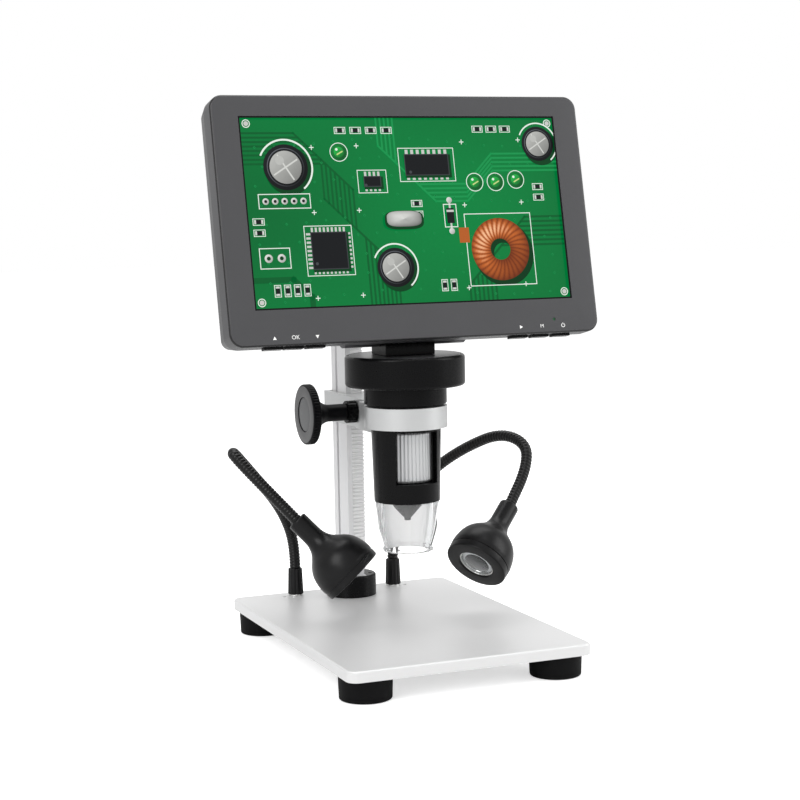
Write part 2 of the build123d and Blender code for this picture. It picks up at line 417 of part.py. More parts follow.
def bracket():
    """One casting: the block on the column, the gears' pocket, the saddle and the ring."""
    half = BLOCK_W / 2
    below, above = BLOCK_Z[0] - OVER, RING_Z[1] + OVER
    arm = block((-half, half), (BLOCK_FRONT, BLOCK_BACK), BLOCK_Z)
    arm = chamfer(arm.edges().filter_by(Axis.Z).group_by(Axis.Y)[-1], BLOCK_EDGE)
    ring = Pos(0, HEAD_Y, RING_Z[0]) * Cylinder(RING_R, RING_Z[1] - RING_Z[0], align=UPWARD)
    saddle = block((-SADDLE_W / 2, SADDLE_W / 2), (HEAD_Y + RING_R / 2, SADDLE_BACK),
                   (BLOCK_Z[0] + SADDLE_LIFT, RING_Z[1]))
    saddle = fillet(saddle.edges().filter_by(Axis.Z).group_by(Axis.Y)[-1], SADDLE_R)
    body = arm + ring + saddle
    body -= rod(BARREL_NECK_R + RUN, (0, HEAD_Y, below), Z_AXIS, above - below)
    channel = block((-CHANNEL_HALF, CHANNEL_HALF), (COLUMN_FRONT - 2 * SLIDE, CHANNEL_BACK), (below, above))
    pocket = block(POCKET_X, (SHAFT_Y - GEAR_ROOM_R, COLUMN_FRONT), (below, DRIVE_Z + GEAR_ROOM_R))
    rebate = block((LID_X[0] - SLIDE, LID_X[1] + SLIDE), (LID_Y[0] - SLIDE, LID_Y[1] + SLIDE),
                   (below, BLOCK_Z[0] + LID_T + SEAT))
    body = body - channel - pocket - rebate
    body -= rod(BUSH_R + FIT, (-half, SHAFT_Y, DRIVE_Z), X_AXIS, half + POCKET_X[0] + OVER)
    body -= rod(SHAFT_R + RUN, (POCKET_X[1] - OVER, SHAFT_Y, DRIVE_Z), X_AXIS, OVER + SHAFT_BITE + BITE_ROOM)
    for y in (FRONT_IDLER_Y, REAR_IDLER_Y):
        body -= rod(PIN_R + FIT, (POCKET_X[0] - PIN_BITE - SEAT, y, DRIVE_Z), X_AXIS, BLOCK_W)
    for x, y in LID_SCREWS:
        body -= rod(M2_R + FIT, (x, y, below), Z_AXIS, OVER + LID_T + LID_SCREW_BITE)
    return body - rod(M3_R + FIT, (BARREL_TOP_R, HEAD_Y, SET_SCREW_Z), X_AXIS, RING_R)


def guide_pads():
    """Slippery pads between the bracket and the column's two sides and back."""
    z = (BLOCK_Z[0] + PAD_END, BLOCK_Z[1] - PAD_END)
    inner = COLUMN_W / 2 + SLIDE / 2
    y = (COLUMN_FRONT + PAD_END, COLUMN_BACK - PAD_END)
    sides = [block(sorted((s * inner, s * (inner + PAD_T))), y, z) for s in (-1, 1)]
    back = block((-inner, inner), (COLUMN_BACK + SLIDE / 2, COLUMN_BACK + SLIDE / 2 + PAD_T), z)
    return Compound(sides + [back])


def gear_lid():
    """Plate that closes the gears' pocket from below."""
    low = BLOCK_Z[0]
    lid = block(LID_X, LID_Y, (low, low + LID_T))
    for x, y in LID_SCREWS:
        lid -= rod(M2_R + FIT, (x, y, low), Z_AXIS, LID_T + OVER)
        lid -= rod(M2_HEAD_R + HEAD_GAP, (x, y, low), Z_AXIS, M2_HEAD_H)
    return lid


def bracket_screws():
    """Two screws of the gear lid and the set screw that clamps the head in the ring."""
    made = []
    for x, y in LID_SCREWS:
        seat = (x, y, BLOCK_Z[0] + M2_HEAD_H - SEAT)
        made.append(screw(M2_R, M2_HEAD_R, M2_HEAD_H - SEAT, seat, Z_AXIS, LID_SCREW_BITE))
    start = BARREL_NECK_R + 2 * RUN
    length = RING_R - SEAT - start
    set_screw = rod(M3_R, (start, HEAD_Y, SET_SCREW_Z), X_AXIS, length)
    socket_end = rod(SET_SOCKET_R, (start + length - SET_SOCKET_DEEP, HEAD_Y, SET_SCREW_Z), X_AXIS, length)
    return Compound(made + [set_screw - socket_end])


def shaft_bush():
    """Brass bush in the bracket's left wall; its sleeve carries the tension ring."""
    left = -BLOCK_W / 2
    outer_end = left - BUSH_SLEEVE
    inside = rod(BUSH_R, (outer_end, SHAFT_Y, DRIVE_Z), X_AXIS, POCKET_X[0] - SEAT - outer_end)
    sleeve = rod(BUSH_SLEEVE_R, (outer_end, SHAFT_Y, DRIVE_Z), X_AXIS, BUSH_SLEEVE - SEAT)
    bore = rod(SHAFT_R + RUN, (outer_end - OVER, SHAFT_Y, DRIVE_Z), X_AXIS, BUSH_SLEEVE + BLOCK_W)
    return inside + sleeve - bore


def idler_pins():
    """Fixed pins on which the two idler gears turn."""
    start, end = POCKET_X[0] - PIN_BITE, BLOCK_W / 2 - SEAT
    places = [(start, y, DRIVE_Z) for y in (FRONT_IDLER_Y, REAR_IDLER_Y)]
    return Compound([rod(PIN_R, place, X_AXIS, end - start) for place in places])


def pinion_shaft():
    """Steel shaft with its pinion cut from the solid."""
    left, end = KNOB_FACE_X + KNOB_SHAFT_IN, POCKET_X[1] + SHAFT_BITE
    shaft = rod(SHAFT_R, (left, SHAFT_Y, DRIVE_Z), X_AXIS, end - left)
    return shaft + gear(GEAR_X, SHAFT_Y, DRIVE_Z, SHAFT_R / 2)


def turned_about_shaft(*corners):
    """Solid of revolution about the knob's shaft from (radius, x) corners."""
    along_x = Plane(origin=(0, SHAFT_Y, DRIVE_Z), x_dir=Y_AXIS, z_dir=X_AXIS)
    return along_x * turned(*corners)


def focus_knob():
    """Wheel with a fluted rim, a hollowed back and a long hub."""
    rim_back = KNOB_FACE_X + KNOB_RIM_T
    hub_start = rim_back + KNOB_CONE_L
    hub_end = -BLOCK_W / 2 - TENSION_GAP - TENSION_T - SLIDE
    knob = turned_about_shaft(
        (0, KNOB_FACE_X + KNOB_CAP_T), (KNOB_CAP_R + SEAT, KNOB_FACE_X + KNOB_CAP_T),
        (KNOB_CAP_R + SEAT, KNOB_FACE_X), (KNOB_R - KNOB_EDGE, KNOB_FACE_X),
        (KNOB_R, KNOB_FACE_X + KNOB_EDGE), (KNOB_R, rim_back - KNOB_EDGE), (KNOB_R - KNOB_EDGE, rim_back),
        (KNOB_CONE_R, rim_back), (KNOB_WAIST_R, rim_back + KNOB_CONE_L * 0.35),
        (KNOB_HUB_R + KNOB_HUB_FLARE, rim_back + KNOB_CONE_L * 0.75), (KNOB_HUB_R, hub_start),
        (KNOB_HUB_R, hub_end), (0, hub_end))
    flute_circle = KNOB_R + KNOB_FLUTE_OUT
    for flute in range(KNOB_FLUTES):
        angle = 2 * math.pi * flute / KNOB_FLUTES
        at = (KNOB_FACE_X + KNOB_EDGE, SHAFT_Y + flute_circle * math.cos(angle),
              DRIVE_Z + flute_circle * math.sin(angle))
        knob -= rod(KNOB_FLUTE_R, at, X_AXIS, KNOB_RIM_T - 2 * KNOB_EDGE)
    bore_from = KNOB_FACE_X + KNOB_SHAFT_IN - SEAT
    return knob - rod(SHAFT_R + FIT, (bore_from, SHAFT_Y, DRIVE_Z), X_AXIS, hub_end - bore_from + OVER)


def knob_cap():
    """Flat lighter cap set in the knob's face."""
    start = KNOB_FACE_X + KNOB_CAP_SINK
    cap = rod(KNOB_CAP_R, (start, SHAFT_Y, DRIVE_Z), X_AXIS, KNOB_CAP_T - KNOB_CAP_SINK - SEAT)
    return chamfer(cap.edges().group_by(Axis.X)[0], KNOB_CAP_EDGE)


def tension_ring():
    """Knurled ring on the bush's sleeve that sets how stiffly the bracket moves."""
    start = -BLOCK_W / 2 - TENSION_GAP - TENSION_T + SEAT
    ring = rod(TENSION_R, (start, SHAFT_Y, DRIVE_Z), X_AXIS, TENSION_T - 2 * SEAT)
    ring -= rod(BUSH_SLEEVE_R + RUN, (start - OVER, SHAFT_Y, DRIVE_Z), X_AXIS, 2 * TENSION_T)
    for tooth in range(TENSION_TEETH):
        angle = 2 * math.pi * tooth / TENSION_TEETH
        at = (start - OVER, SHAFT_Y + TENSION_R * math.cos(angle), DRIVE_Z + TENSION_R * math.sin(angle))
        ring -= rod(TENSION_TOOTH_R, at, X_AXIS, 2 * TENSION_T)
    return ring


parts["bracket"] = bracket()
parts["guide_pads"] = guide_pads()
parts["gear_lid"] = gear_lid()
parts["bracket_screws"] = bracket_screws()
parts["shaft_bush"] = shaft_bush()
parts["idler_pins"] = idler_pins()
parts["pinion_shaft"] = pinion_shaft()
parts["focus_knob"] = focus_knob()
parts["knob_cap"] = knob_cap()
parts["front_idler"] = gear(GEAR_X, FRONT_IDLER_Y, DRIVE_Z, PIN_R + RUN)
parts["rear_idler"] = gear(GEAR_X, REAR_IDLER_Y, DRIVE_Z, PIN_R + RUN)
parts["tension_ring"] = tension_ring()


# ---------------------------------------------------------------- camera head
def on_axis(shape):
    """Move a shape that was turned about Z onto the lens axis."""
    return Pos(0, HEAD_Y, 0) * shape


RETAINER_Z = WHEEL_Z[1] + WHEEL_GAP
RETAINER_R = INNER_R + RETAINER_LEDGE
SENSOR_R = RETAINER_R + SENSOR_LEDGE


def barrel_shell():
    """Tapered body with a window for the wheel, an inner floor under it and ledges above it."""
    floor = FLOOR_TOP - FLOOR_T
    low, high = BARREL_Z
    hole_r = CARRIER_R + RUN
    shell = turned(
        (SPIGOT_R + SEAT, low), (BARREL_FOOT_R, low), (BARREL_TOP_R, BARREL_CONE_TOP),
        (BARREL_NECK_R, BARREL_CONE_TOP), (BARREL_NECK_R, high), (SENSOR_R, high), (SENSOR_R, SENSOR_Z),
        (RETAINER_R, SENSOR_Z), (RETAINER_R, RETAINER_Z), (INNER_R, RETAINER_Z), (INNER_R, FLOOR_TOP),
        (hole_r, FLOOR_TOP), (hole_r, floor), (SPIGOT_R + SEAT, floor))
    window = block((-WINDOW_HALF_W, WINDOW_HALF_W), (-2 * BARREL_TOP_R, -CARRIER_R), WINDOW_Z)
    key = block((-KEY_W / 2, KEY_W / 2), (hole_r - KEY_DEPTH + SLIDE, hole_r + OVER), (floor, FLOOR_TOP))
    return on_axis(shell - window + key)


def lens_carrier():
    """Tube that the wheel drives up and down; a groove at its back keeps it from turning."""
    seat_z = NOSE_TIP + LENS_SINK + LENS_T + SEAT
    body = turned(
        (LENS_R + SEAT, NOSE_TIP), (NOSE_TIP_R, NOSE_TIP), (NOSE_R, NOSE_TOP), (CARRIER_R, NOSE_TOP),
        (CARRIER_R, CARRIER_TOP), (CARRIER_BORE, CARRIER_TOP), (CARRIER_BORE, NOSE_TOP + CARRIER_WEB),
        (LENS_R - LENS_LIP, NOSE_TOP - CARRIER_WEB), (LENS_R - LENS_LIP, seat_z), (LENS_R + SEAT, seat_z))
    groove = block((-KEY_W / 2 - SLIDE, KEY_W / 2 + SLIDE), (CARRIER_R - KEY_DEPTH, CARRIER_R + OVER),
                   (NOSE_TOP - OVER, CARRIER_TOP - KEY_END))
    return on_axis(body - groove)


def front_lens():
    """Small lens in the carrier's tip."""
    return on_axis(Pos(0, 0, NOSE_TIP + LENS_SINK) * Cylinder(LENS_R, LENS_T, align=UPWARD))


def focus_wheel():
    """Ribbed wheel round the lens carrier, seen and turned through the window."""
    low, height = WHEEL_Z[0], WHEEL_Z[1] - WHEEL_Z[0]
    rib_circle = WHEEL_R - WHEEL_RIB_R
    wheel = rod(WHEEL_R - WHEEL_RIB_R / 2, (0, 0, low), Z_AXIS, height)
    for rib in range(WHEEL_RIBS):
        angle = 2 * math.pi * rib / WHEEL_RIBS
        at = (rib_circle * math.cos(angle), rib_circle * math.sin(angle), low)
        wheel += rod(WHEEL_RIB_R, at, Z_AXIS, height)
    return on_axis(wheel - rod(CARRIER_R + RUN, (0, 0, low - OVER), Z_AXIS, height + 2 * OVER))


def wheel_retainer():
    """Disc pressed into the body over the wheel."""
    z = (RETAINER_Z + SEAT, RETAINER_Z + SEAT + RETAINER_T)
    r = (CARRIER_R + RETAINER_GAP, RETAINER_R - FIT)
    return on_axis(turned((r[0], z[0]), (r[1], z[0]), (r[1], z[1]), (r[0], z[1])))


def sensor_board():
    """Round board with the image sensor on its underside."""
    z = SENSOR_Z + SEAT
    board = rod(SENSOR_R - FIT, (0, 0, z), Z_AXIS, BOARD_T)
    chip = block((-CHIP_W / 2, CHIP_W / 2), (-CHIP_W / 2, CHIP_W / 2), (z - CHIP_H, z))
    plug = block((-PLUG_W / 2, PLUG_W / 2), PLUG_Y, (z + BOARD_T, z + BOARD_T + PLUG_H))
    return on_axis(board + chip + plug)


def clear_hood():
    """Clear tapered skirt with a spigot that plugs into the body's foot."""
    outer = list(HOOD)
    inner = [(radius - HOOD_T, height) for radius, height in HOOD]
    top = HOOD[0][1]
    spigot = [(SPIGOT_R - HOOD_T, top + SPIGOT_H), (SPIGOT_R, top + SPIGOT_H), (SPIGOT_R, top)]
    return on_axis(turned(*spigot, *outer, *inner[::-1]))


def ring_board():
    """Ring of small lamps over the hood's spigot, shining down through it."""
    z = HOOD[0][1] + SPIGOT_H + SEAT
    hole_r = CARRIER_R + RING_BOARD_GAP
    board = turned((hole_r, z), (RING_BOARD_R, z), (RING_BOARD_R, z + BOARD_T), (hole_r, z + BOARD_T))
    for led in range(LEDS):
        angle = 2 * math.pi * (led + 0.5) / LEDS
        at = (LED_CIRCLE * math.cos(angle), LED_CIRCLE * math.sin(angle), z - LED_H)
        board += rod(LED_R, at, Z_AXIS, LED_H + BOARD_T / 2)
    return on_axis(board)


def head_collar():
    """Stepped ring that rests on the bracket's ring and carries the disc."""
    low, high = RING_Z[1] + SLIDE, DISC_Z[0] - SEAT
    inner = BARREL_NECK_R + FIT
    return on_axis(turned((inner, low), (COLLAR_GROOVE_R, low), (COLLAR_GROOVE_R, low + COLLAR_GROOVE_H),
                          (COLLAR_TOP_R, low + COLLAR_GROOVE_H), (COLLAR_TOP_R, high), (inner, high)))


def disc_housing():
    """Wide round tub over the collar, with the cable hole in its floor."""
    low, high = DISC_Z
    ledge = high - DISC_T
    seat_r, room_r = DISC_R - DISC_T, DISC_R - 2 * DISC_T
    shell = turned(
        (DISC_HOLE_R, low), (DISC_R - DISC_EDGE, low), (DISC_R, low + DISC_EDGE), (DISC_R, high - DISC_EDGE),
        (DISC_R - DISC_EDGE, high), (seat_r, high), (seat_r, ledge), (room_r, ledge),
        (room_r, low + DISC_T), (DISC_HOLE_R, low + DISC_T))
    return on_axis(shell)


def disc_lid():
    """Lid let into the tub's top."""
    low, height = DISC_Z[1] - DISC_T + SEAT, DISC_T - SEAT
    lid = on_axis(rod(DISC_R - DISC_T - SEAT, (0, 0, low), Z_AXIS, height))
    return lid - rod(CABLE_R, (0, HINGE_Y, low), Z_AXIS, height + OVER)


def monitor_neck():
    """Block on the lid that ends in the hinge's knuckle, with a way for the cable."""
    low = DISC_Z[1] + SEAT
    (front, back), (front_top, back_top) = NECK_Y, NECK_SHOULDER
    outline = [(front, low), (back, low), (back, back_top), (HINGE_Y + HINGE_R, HINGE_Z),
               (HINGE_Y - HINGE_R, HINGE_Z), (front, front_top)]
    plane = Plane(origin=(-NECK_HALF_W, 0, 0), x_dir=Y_AXIS, z_dir=X_AXIS)
    neck = extrude(plane * make_face(Polyline(*outline, close=True)), amount=2 * NECK_HALF_W, dir=X_AXIS)
    neck += rod(HINGE_R, (-NECK_HALF_W, HINGE_Y, HINGE_Z), X_AXIS, 2 * NECK_HALF_W)
    neck -= rod(HINGE_PIN_R + RUN, (-2 * NECK_HALF_W, HINGE_Y, HINGE_Z), X_AXIS, 4 * NECK_HALF_W)
    return neck - rod(CABLE_R, (0, HINGE_Y, low), Z_AXIS, HINGE_Z - HINGE_R - SEAT - low)


parts["barrel_shell"] = barrel_shell()
parts["lens_carrier"] = lens_carrier()
parts["front_lens"] = front_lens()
parts["focus_wheel"] = focus_wheel()
parts["wheel_retainer"] = wheel_retainer()
parts["sensor_board"] = sensor_board()
parts["clear_hood"] = clear_hood()
parts["ring_board"] = ring_board()
parts["head_collar"] = head_collar()
parts["disc_housing"] = disc_housing()
parts["disc_lid"] = disc_lid()
parts["monitor_neck"] = monitor_neck()


# ---------------------------------------------------------------- monitor
CASE_V = (BEZEL_TOP + BEZEL_BOTTOM) / 2
CASE_H = BEZEL_TOP - BEZEL_BOTTOM
CASE = SCREEN.shift_origin(SCREEN.from_local_coords(Vector(0, CASE_V, 0)))
BUTTON_SLOT = BUTTON_W + 2 * BUTTON_GAP
BUTTON_SPAN = (BUTTON_AT - BUTTON_D / 2, BUTTON_AT + BUTTON_D / 2)


def in_screen(u, v, w):
    """Box in the screen's frame: across, up, and forward of the picture."""
    return SCREEN * block(u, v, w)


def post(radius, u, v, w_from, w_to):
    """Round post along the screen's normal."""
    return SCREEN * rod(radius, (u, v, min(w_from, w_to)), Z_AXIS, abs(w_to - w_from))


def case_screw_places():
    """Across and up positions of the four case screws."""
    return [(side * CASE_SCREW_U, v) for side in (-1, 1) for v in CASE_SCREW_V]


def front_bezel():
    """Front frame: its opening shows the picture, its lower wall has the buttons' slots."""
    frame = slab(CASE, BEZEL_W, CASE_H, BEZEL_R, SEAM, BEZEL_FRONT)
    forward = Axis(CASE.origin, CASE.z_dir)
    frame = fillet(frame.edges().group_by(forward)[-1], BEZEL_EDGE)
    frame -= slab(CASE, BEZEL_W - 2 * CASE_T, CASE_H - 2 * CASE_T, BEZEL_R - CASE_T, SEAM, 0)
    opening = SCREEN.offset(-OVER) * Rectangle(PICTURE_W + 2 * PICTURE_GAP, PICTURE_H + 2 * PICTURE_GAP)
    frame -= extrude(opening, amount=BEZEL_FRONT + 2 * OVER, dir=SCREEN.z_dir)
    for u, v in case_screw_places():
        frame += post(BOSS_R, u, v, SEAM + BOSS_BACK, 0)
        frame -= post(M2_R + FIT, u, v, SEAM, -CASE_SCREW_TIP / 2)
    slot_w = (BUTTON_SPAN[0] - BUTTON_GAP, BUTTON_SPAN[1] + BUTTON_GAP)
    for u in BUTTON_U:
        frame -= in_screen((u - BUTTON_SLOT / 2, u + BUTTON_SLOT / 2),
                           (BEZEL_BOTTOM - OVER, BEZEL_BOTTOM + CASE_T + OVER / 2), slot_w)
    return frame - post(INDICATOR_R + SEAT, INDICATOR_U, INDICATOR_V, -OVER, BEZEL_FRONT + OVER)


def rear_cover():
    """Back shell with the hinge's barrel, the pocket round the neck, vents and side sockets' holes."""
    seam, wall = SEAM - SEAT, CASE_T
    cover = slab(CASE, BEZEL_W, CASE_H, BEZEL_R, seam, REAR, REAR_DRAFT)
    cover = fillet(cover.edges().group_by(Axis(CASE.origin, CASE.z_dir))[0], REAR_EDGE)
    inside = slab(CASE, BEZEL_W - 2 * wall, CASE_H - 2 * wall, BEZEL_R - wall, seam, REAR + wall, REAR_DRAFT)
    cover -= inside
    barrel = SCREEN * rod(HINGE_R, (-HINGE_HALF_W, HINGE_V, HINGE_W), X_AXIS, 2 * HINGE_HALF_W)
    half = NECK_HALF_W + HINGE_ROOM
    pocket = in_screen((-half - POCKET_WALL, half + POCKET_WALL),
                       (BEZEL_BOTTOM + wall, HINGE_V + POCKET_R + POCKET_HEAD),
                       (REAR + wall / 2, HINGE_W + POCKET_R + POCKET_FRONT))
    ears = in_screen((-HINGE_HALF_W, HINGE_HALF_W), (HINGE_V, HINGE_V + HINGE_EAR),
                     (HINGE_W, REAR + wall / 2))
    cover = cover + barrel + pocket + ears
    cover -= SCREEN * rod(POCKET_R, (-half, HINGE_V, HINGE_W), X_AXIS, 2 * half)
    cover -= in_screen((-half, half), (BEZEL_BOTTOM - OVER, HINGE_V),
                       (HINGE_W - POCKET_BACK, HINGE_W + POCKET_R))
    pin_half = HINGE_PIN_HALF + SEAT
    cover -= SCREEN * rod(HINGE_PIN_R + FIT, (-pin_half, HINGE_V, HINGE_W), X_AXIS, 2 * pin_half)
    for u, v in case_screw_places():
        cover += post(BOSS_R, u, v, REAR + wall / 2, SEAM + BOSS_BACK - SEAT)
        cover -= post(M2_R + FIT, u, v, REAR - OVER, 0)
        cover -= post(M2_HEAD_R + HEAD_GAP, u, v, REAR - OVER, REAR + M2_HEAD_H + SEAT)
    for u in (MAIN_BOARD_U[0] + POST_IN, MAIN_BOARD_U[1] - POST_IN_SOCKETS):
        for v in (MAIN_BOARD_V[0] + POST_IN, MAIN_BOARD_V[1] - POST_IN):
            cover += post(POST_R, u, v, REAR + wall / 2, MAIN_BOARD_W - BOARD_T - SEAT)
    for middle, width, height in SOCKETS:
        cover -= in_screen((BEZEL_W / 2 - SOCKET_D, BEZEL_W / 2 + OVER),
                           (middle - width / 2 - SEAT, middle + width / 2 + SEAT),
                           (MAIN_BOARD_W - BOARD_T - height - SEAT, MAIN_BOARD_W - BOARD_T + SEAT))
    for vent in range(VENTS):
        u = (vent - (VENTS - 1) / 2) * VENT_PITCH
        cover -= in_screen((u - VENT_W / 2, u + VENT_W / 2), (VENT_V - VENT_L / 2, VENT_V + VENT_L / 2),
                           (REAR - OVER, REAR + wall + OVER))
    return cover


def lcd_panel():
    """Display panel behind the frame's opening."""
    half_w, half_h = PANEL_W / 2, PANEL_H / 2
    return in_screen((-half_w, half_w), (-half_h, half_h), (-PANEL_T - SEAT, -SEAT))


def main_board():
    """Monitor's circuit board with its chips and the two sockets at its right edge."""
    low = MAIN_BOARD_W - BOARD_T
    board = in_screen(MAIN_BOARD_U, MAIN_BOARD_V, (low, MAIN_BOARD_W))
    for edge, v, size, height in CHIPS:
        u = MAIN_BOARD_U[1] - edge
        board += in_screen((u - size / 2, u + size / 2), (v - size / 2, v + size / 2), (low - height, low))
    end = MAIN_BOARD_U[1] + SOCKET_PROUD
    for middle, width, height in SOCKETS:
        v = (middle - width / 2, middle + width / 2)
        board += in_screen((end - SOCKET_D, end), v, (low - height, low))
        board -= in_screen((end - SOCKET_D + SOCKET_FLOOR, end + OVER),
                           (v[0] + SOCKET_WALL, v[1] - SOCKET_WALL),
                           (low - height + SOCKET_WALL, low - SOCKET_WALL))
    return board


FLANGE_V = BEZEL_BOTTOM + CASE_T + SWITCH_GAP
STEM_TOP = FLANGE_V + BUTTON_FLANGE_T + BUTTON_STEM_L
SWITCH_V = STEM_TOP + BUTTON_TRAVEL + SWITCH_GAP
BUTTON_BOARD_V = SWITCH_V + SWITCH_H


def button_board():
    """Long board along the lower edge with a switch over each button and the indicator lamp."""
    board = in_screen((-BUTTON_BOARD_U, BUTTON_BOARD_U), (BUTTON_BOARD_V, BUTTON_BOARD_V + BOARD_T),
                      BUTTON_BOARD_W)
    for u in BUTTON_U:
        board += in_screen((u - SWITCH_W / 2, u + SWITCH_W / 2), (SWITCH_V, BUTTON_BOARD_V),
                           (BUTTON_AT - SWITCH_W / 2, BUTTON_AT + SWITCH_W / 2))
    holder = in_screen((INDICATOR_U - HOLDER_U, INDICATOR_U + HOLDER_U),
                       (INDICATOR_V - HOLDER_V, BUTTON_BOARD_V), HOLDER_W)
    lamp = post(INDICATOR_R, INDICATOR_U, INDICATOR_V, HOLDER_W[0], BEZEL_FRONT - INDICATOR_SINK)
    return board + holder + lamp


def button(u):
    """Key in a slot of the lower wall, with a flange behind the wall and a stem to its switch."""
    half = BUTTON_W / 2
    flange_v = (FLANGE_V, FLANGE_V + BUTTON_FLANGE_T)
    key = in_screen((u - half, u + half), (BEZEL_BOTTOM - BUTTON_PROUD, flange_v[1]), BUTTON_SPAN)
    flange = in_screen((u - half - BUTTON_FLANGE / 2, u + half + BUTTON_FLANGE / 2), flange_v,
                       (BUTTON_SPAN[0] - BUTTON_FLANGE, BUTTON_SPAN[1]))
    stem = SCREEN * rod(BUTTON_STEM_R, (u, FLANGE_V, BUTTON_AT), Y_AXIS, STEM_TOP - FLANGE_V)
    return key + flange + stem


def hinge_pin():
    """Steel pin held in the cover's barrel; the neck's knuckle turns on it."""
    return rod(HINGE_PIN_R, (-HINGE_PIN_HALF, HINGE_Y, HINGE_Z), X_AXIS, 2 * HINGE_PIN_HALF)


def case_screws():
    """Four screws from the back through the cover into the frame."""
    made = []
    seat_w = REAR + M2_HEAD_H + SEAT
    for u, v in case_screw_places():
        made.append(SCREEN * screw(M2_R, M2_HEAD_R, M2_HEAD_H, (u, v, seat_w - SEAT), Z_AXIS,
                                   -seat_w - CASE_SCREW_TIP))
    return Compound(made)


parts["front_bezel"] = front_bezel()
parts["rear_cover"] = rear_cover()
parts["lcd_panel"] = lcd_panel()
parts["main_board"] = main_board()
parts["button_board"] = button_board()
parts["hinge_pin"] = hinge_pin()
parts["case_screws"] = case_screws()
for name, across in zip(BUTTON_NAMES, BUTTON_U):
    parts["button_" + name] = button(across)


# ---------------------------------------------------------------- lamps
def bent_tube(corners):
    """Gooseneck along straight runs joined by arcs as large as the runs allow."""
    points = [Vector(*corner) for corner in corners]
    radii = []
    for before, at, after in zip(points, points[1:], points[2:]):
        turn = math.radians((at - before).get_angle(after - at))
        radii.append(BEND_SHARE * min((at - before).length, (after - at).length) / math.tan(turn / 2))
    path = FilletPolyline(*points, radius=radii) if radii else Line(*points)
    start = Plane(origin=points[0], z_dir=points[1] - points[0])
    return sweep(start * Circle(GOOSE_R), path=path)


def middle_joint(low, high, share):
    """Place of the joint in the middle of the gooseneck."""
    before, after = Vector(*low[-1]), Vector(*high[0])
    return before + (after - before) * share


def lamp_pivot(face, aim):
    """Place of the joint at the lamp's own neck, just outside its mouth."""
    return Vector(*face) - Vector(*aim).normalized() * (LAMP_L + LAMP_PIVOT_OUT)


def lower_gooseneck(x, low, joint):
    """From the ferrule to the middle joint, with a cup for the upper half's bead."""
    tube = bent_tube([(x, LAMP_Y, NECK_START), (x, LAMP_Y, NECK_STRAIGHT), *low, joint])
    return tube - Pos(*joint) * Sphere(CUP_R)


def upper_gooseneck(joint, high, pivot):
    """From the middle joint to the lamp, with a bead at each end."""
    tube = bent_tube([joint, *high, pivot])
    return tube + Pos(*joint) * Sphere(BEAD_R) + Pos(*pivot) * Sphere(BEAD_R)


def lamp_shell(place):
    """Bell-shaped housing: a rim, a dome and a long neck with a cup at its end."""
    shell = turned((0, 0), *LAMP_PROFILE, (0, LAMP_L))
    room_end = LAMP_SEAT + MODULE_RISE + MODULE_T + 2 * SEAT
    room = turned((0, -OVER), (LAMP_OPEN_R, -OVER), (LAMP_OPEN_R, room_end),
                  (LAMP_BORE_R, LAMP_ROOM_END), (LAMP_BORE_R, LAMP_L + OVER), (0, LAMP_L + OVER))
    cup = Pos(0, 0, LAMP_L + LAMP_PIVOT_OUT) * Sphere(CUP_R)
    return place * (shell - room - cup)


def lamp_lens(place):
    """Clear lens with a slightly domed face."""
    dome = turned((0, LAMP_LENS_SINK - LAMP_LENS_DOME / 2), (LAMP_LENS_R * 0.6, LAMP_LENS_SINK),
                  (LAMP_LENS_R, LAMP_LENS_SINK + LAMP_LENS_DOME), (LAMP_LENS_R, LAMP_SEAT), (0, LAMP_SEAT))
    return place * dome


def lamp_module(place):
    """Round board with the light source, behind the lens."""
    start = LAMP_SEAT + SEAT
    board = rod(MODULE_R, (0, 0, start + MODULE_RISE), Z_AXIS, MODULE_T)
    source = rod(SOURCE_R, (0, 0, start), Z_AXIS, SOURCE_T)
    return place * (board + source)


for side, x, low, high, share, face, aim in (
        ("left", -LAMP_X, LEFT_LOW, LEFT_HIGH, LEFT_SHARE, LEFT_FACE, LEFT_AIM),
        ("right", LAMP_X, RIGHT_LOW, RIGHT_HIGH, RIGHT_SHARE, RIGHT_FACE, RIGHT_AIM)):
    joint, pivot = middle_joint(low, high, share), lamp_pivot(face, aim)
    parts[side + "_lower_gooseneck"] = lower_gooseneck(x, low, joint)
    parts[side + "_upper_gooseneck"] = upper_gooseneck(joint, high, pivot)
    place = Plane(origin=face, z_dir=-Vector(*aim))      # from the lamp's face back along its body
    parts[side + "_lamp_shell"] = lamp_shell(place)
    parts[side + "_lamp_lens"] = lamp_lens(place)
    parts[side + "_lamp_module"] = lamp_module(place)


for node, shape in parts.items():
    export_step(shape, f"parts/{node}.step")
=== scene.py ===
# %% [markdown]
# # A bench microscope with its own screen
#
# A real one is an aluminium plate on rubber feet, a square column with a toothed rack, a bracket
# that climbs it, a camera head with a clear skirt, a flat monitor on a hinge and two lamps on
# goosenecks. The engineering model is loaded first and stays where it is. Each cell below either
# gives one of its nodes a finish or puts a finer surface in a node's place.

# %% Frame, units and the box of the engineering model
import json
import math

import bmesh
import bpy
import numpy as np
from mathutils import Matrix, Vector


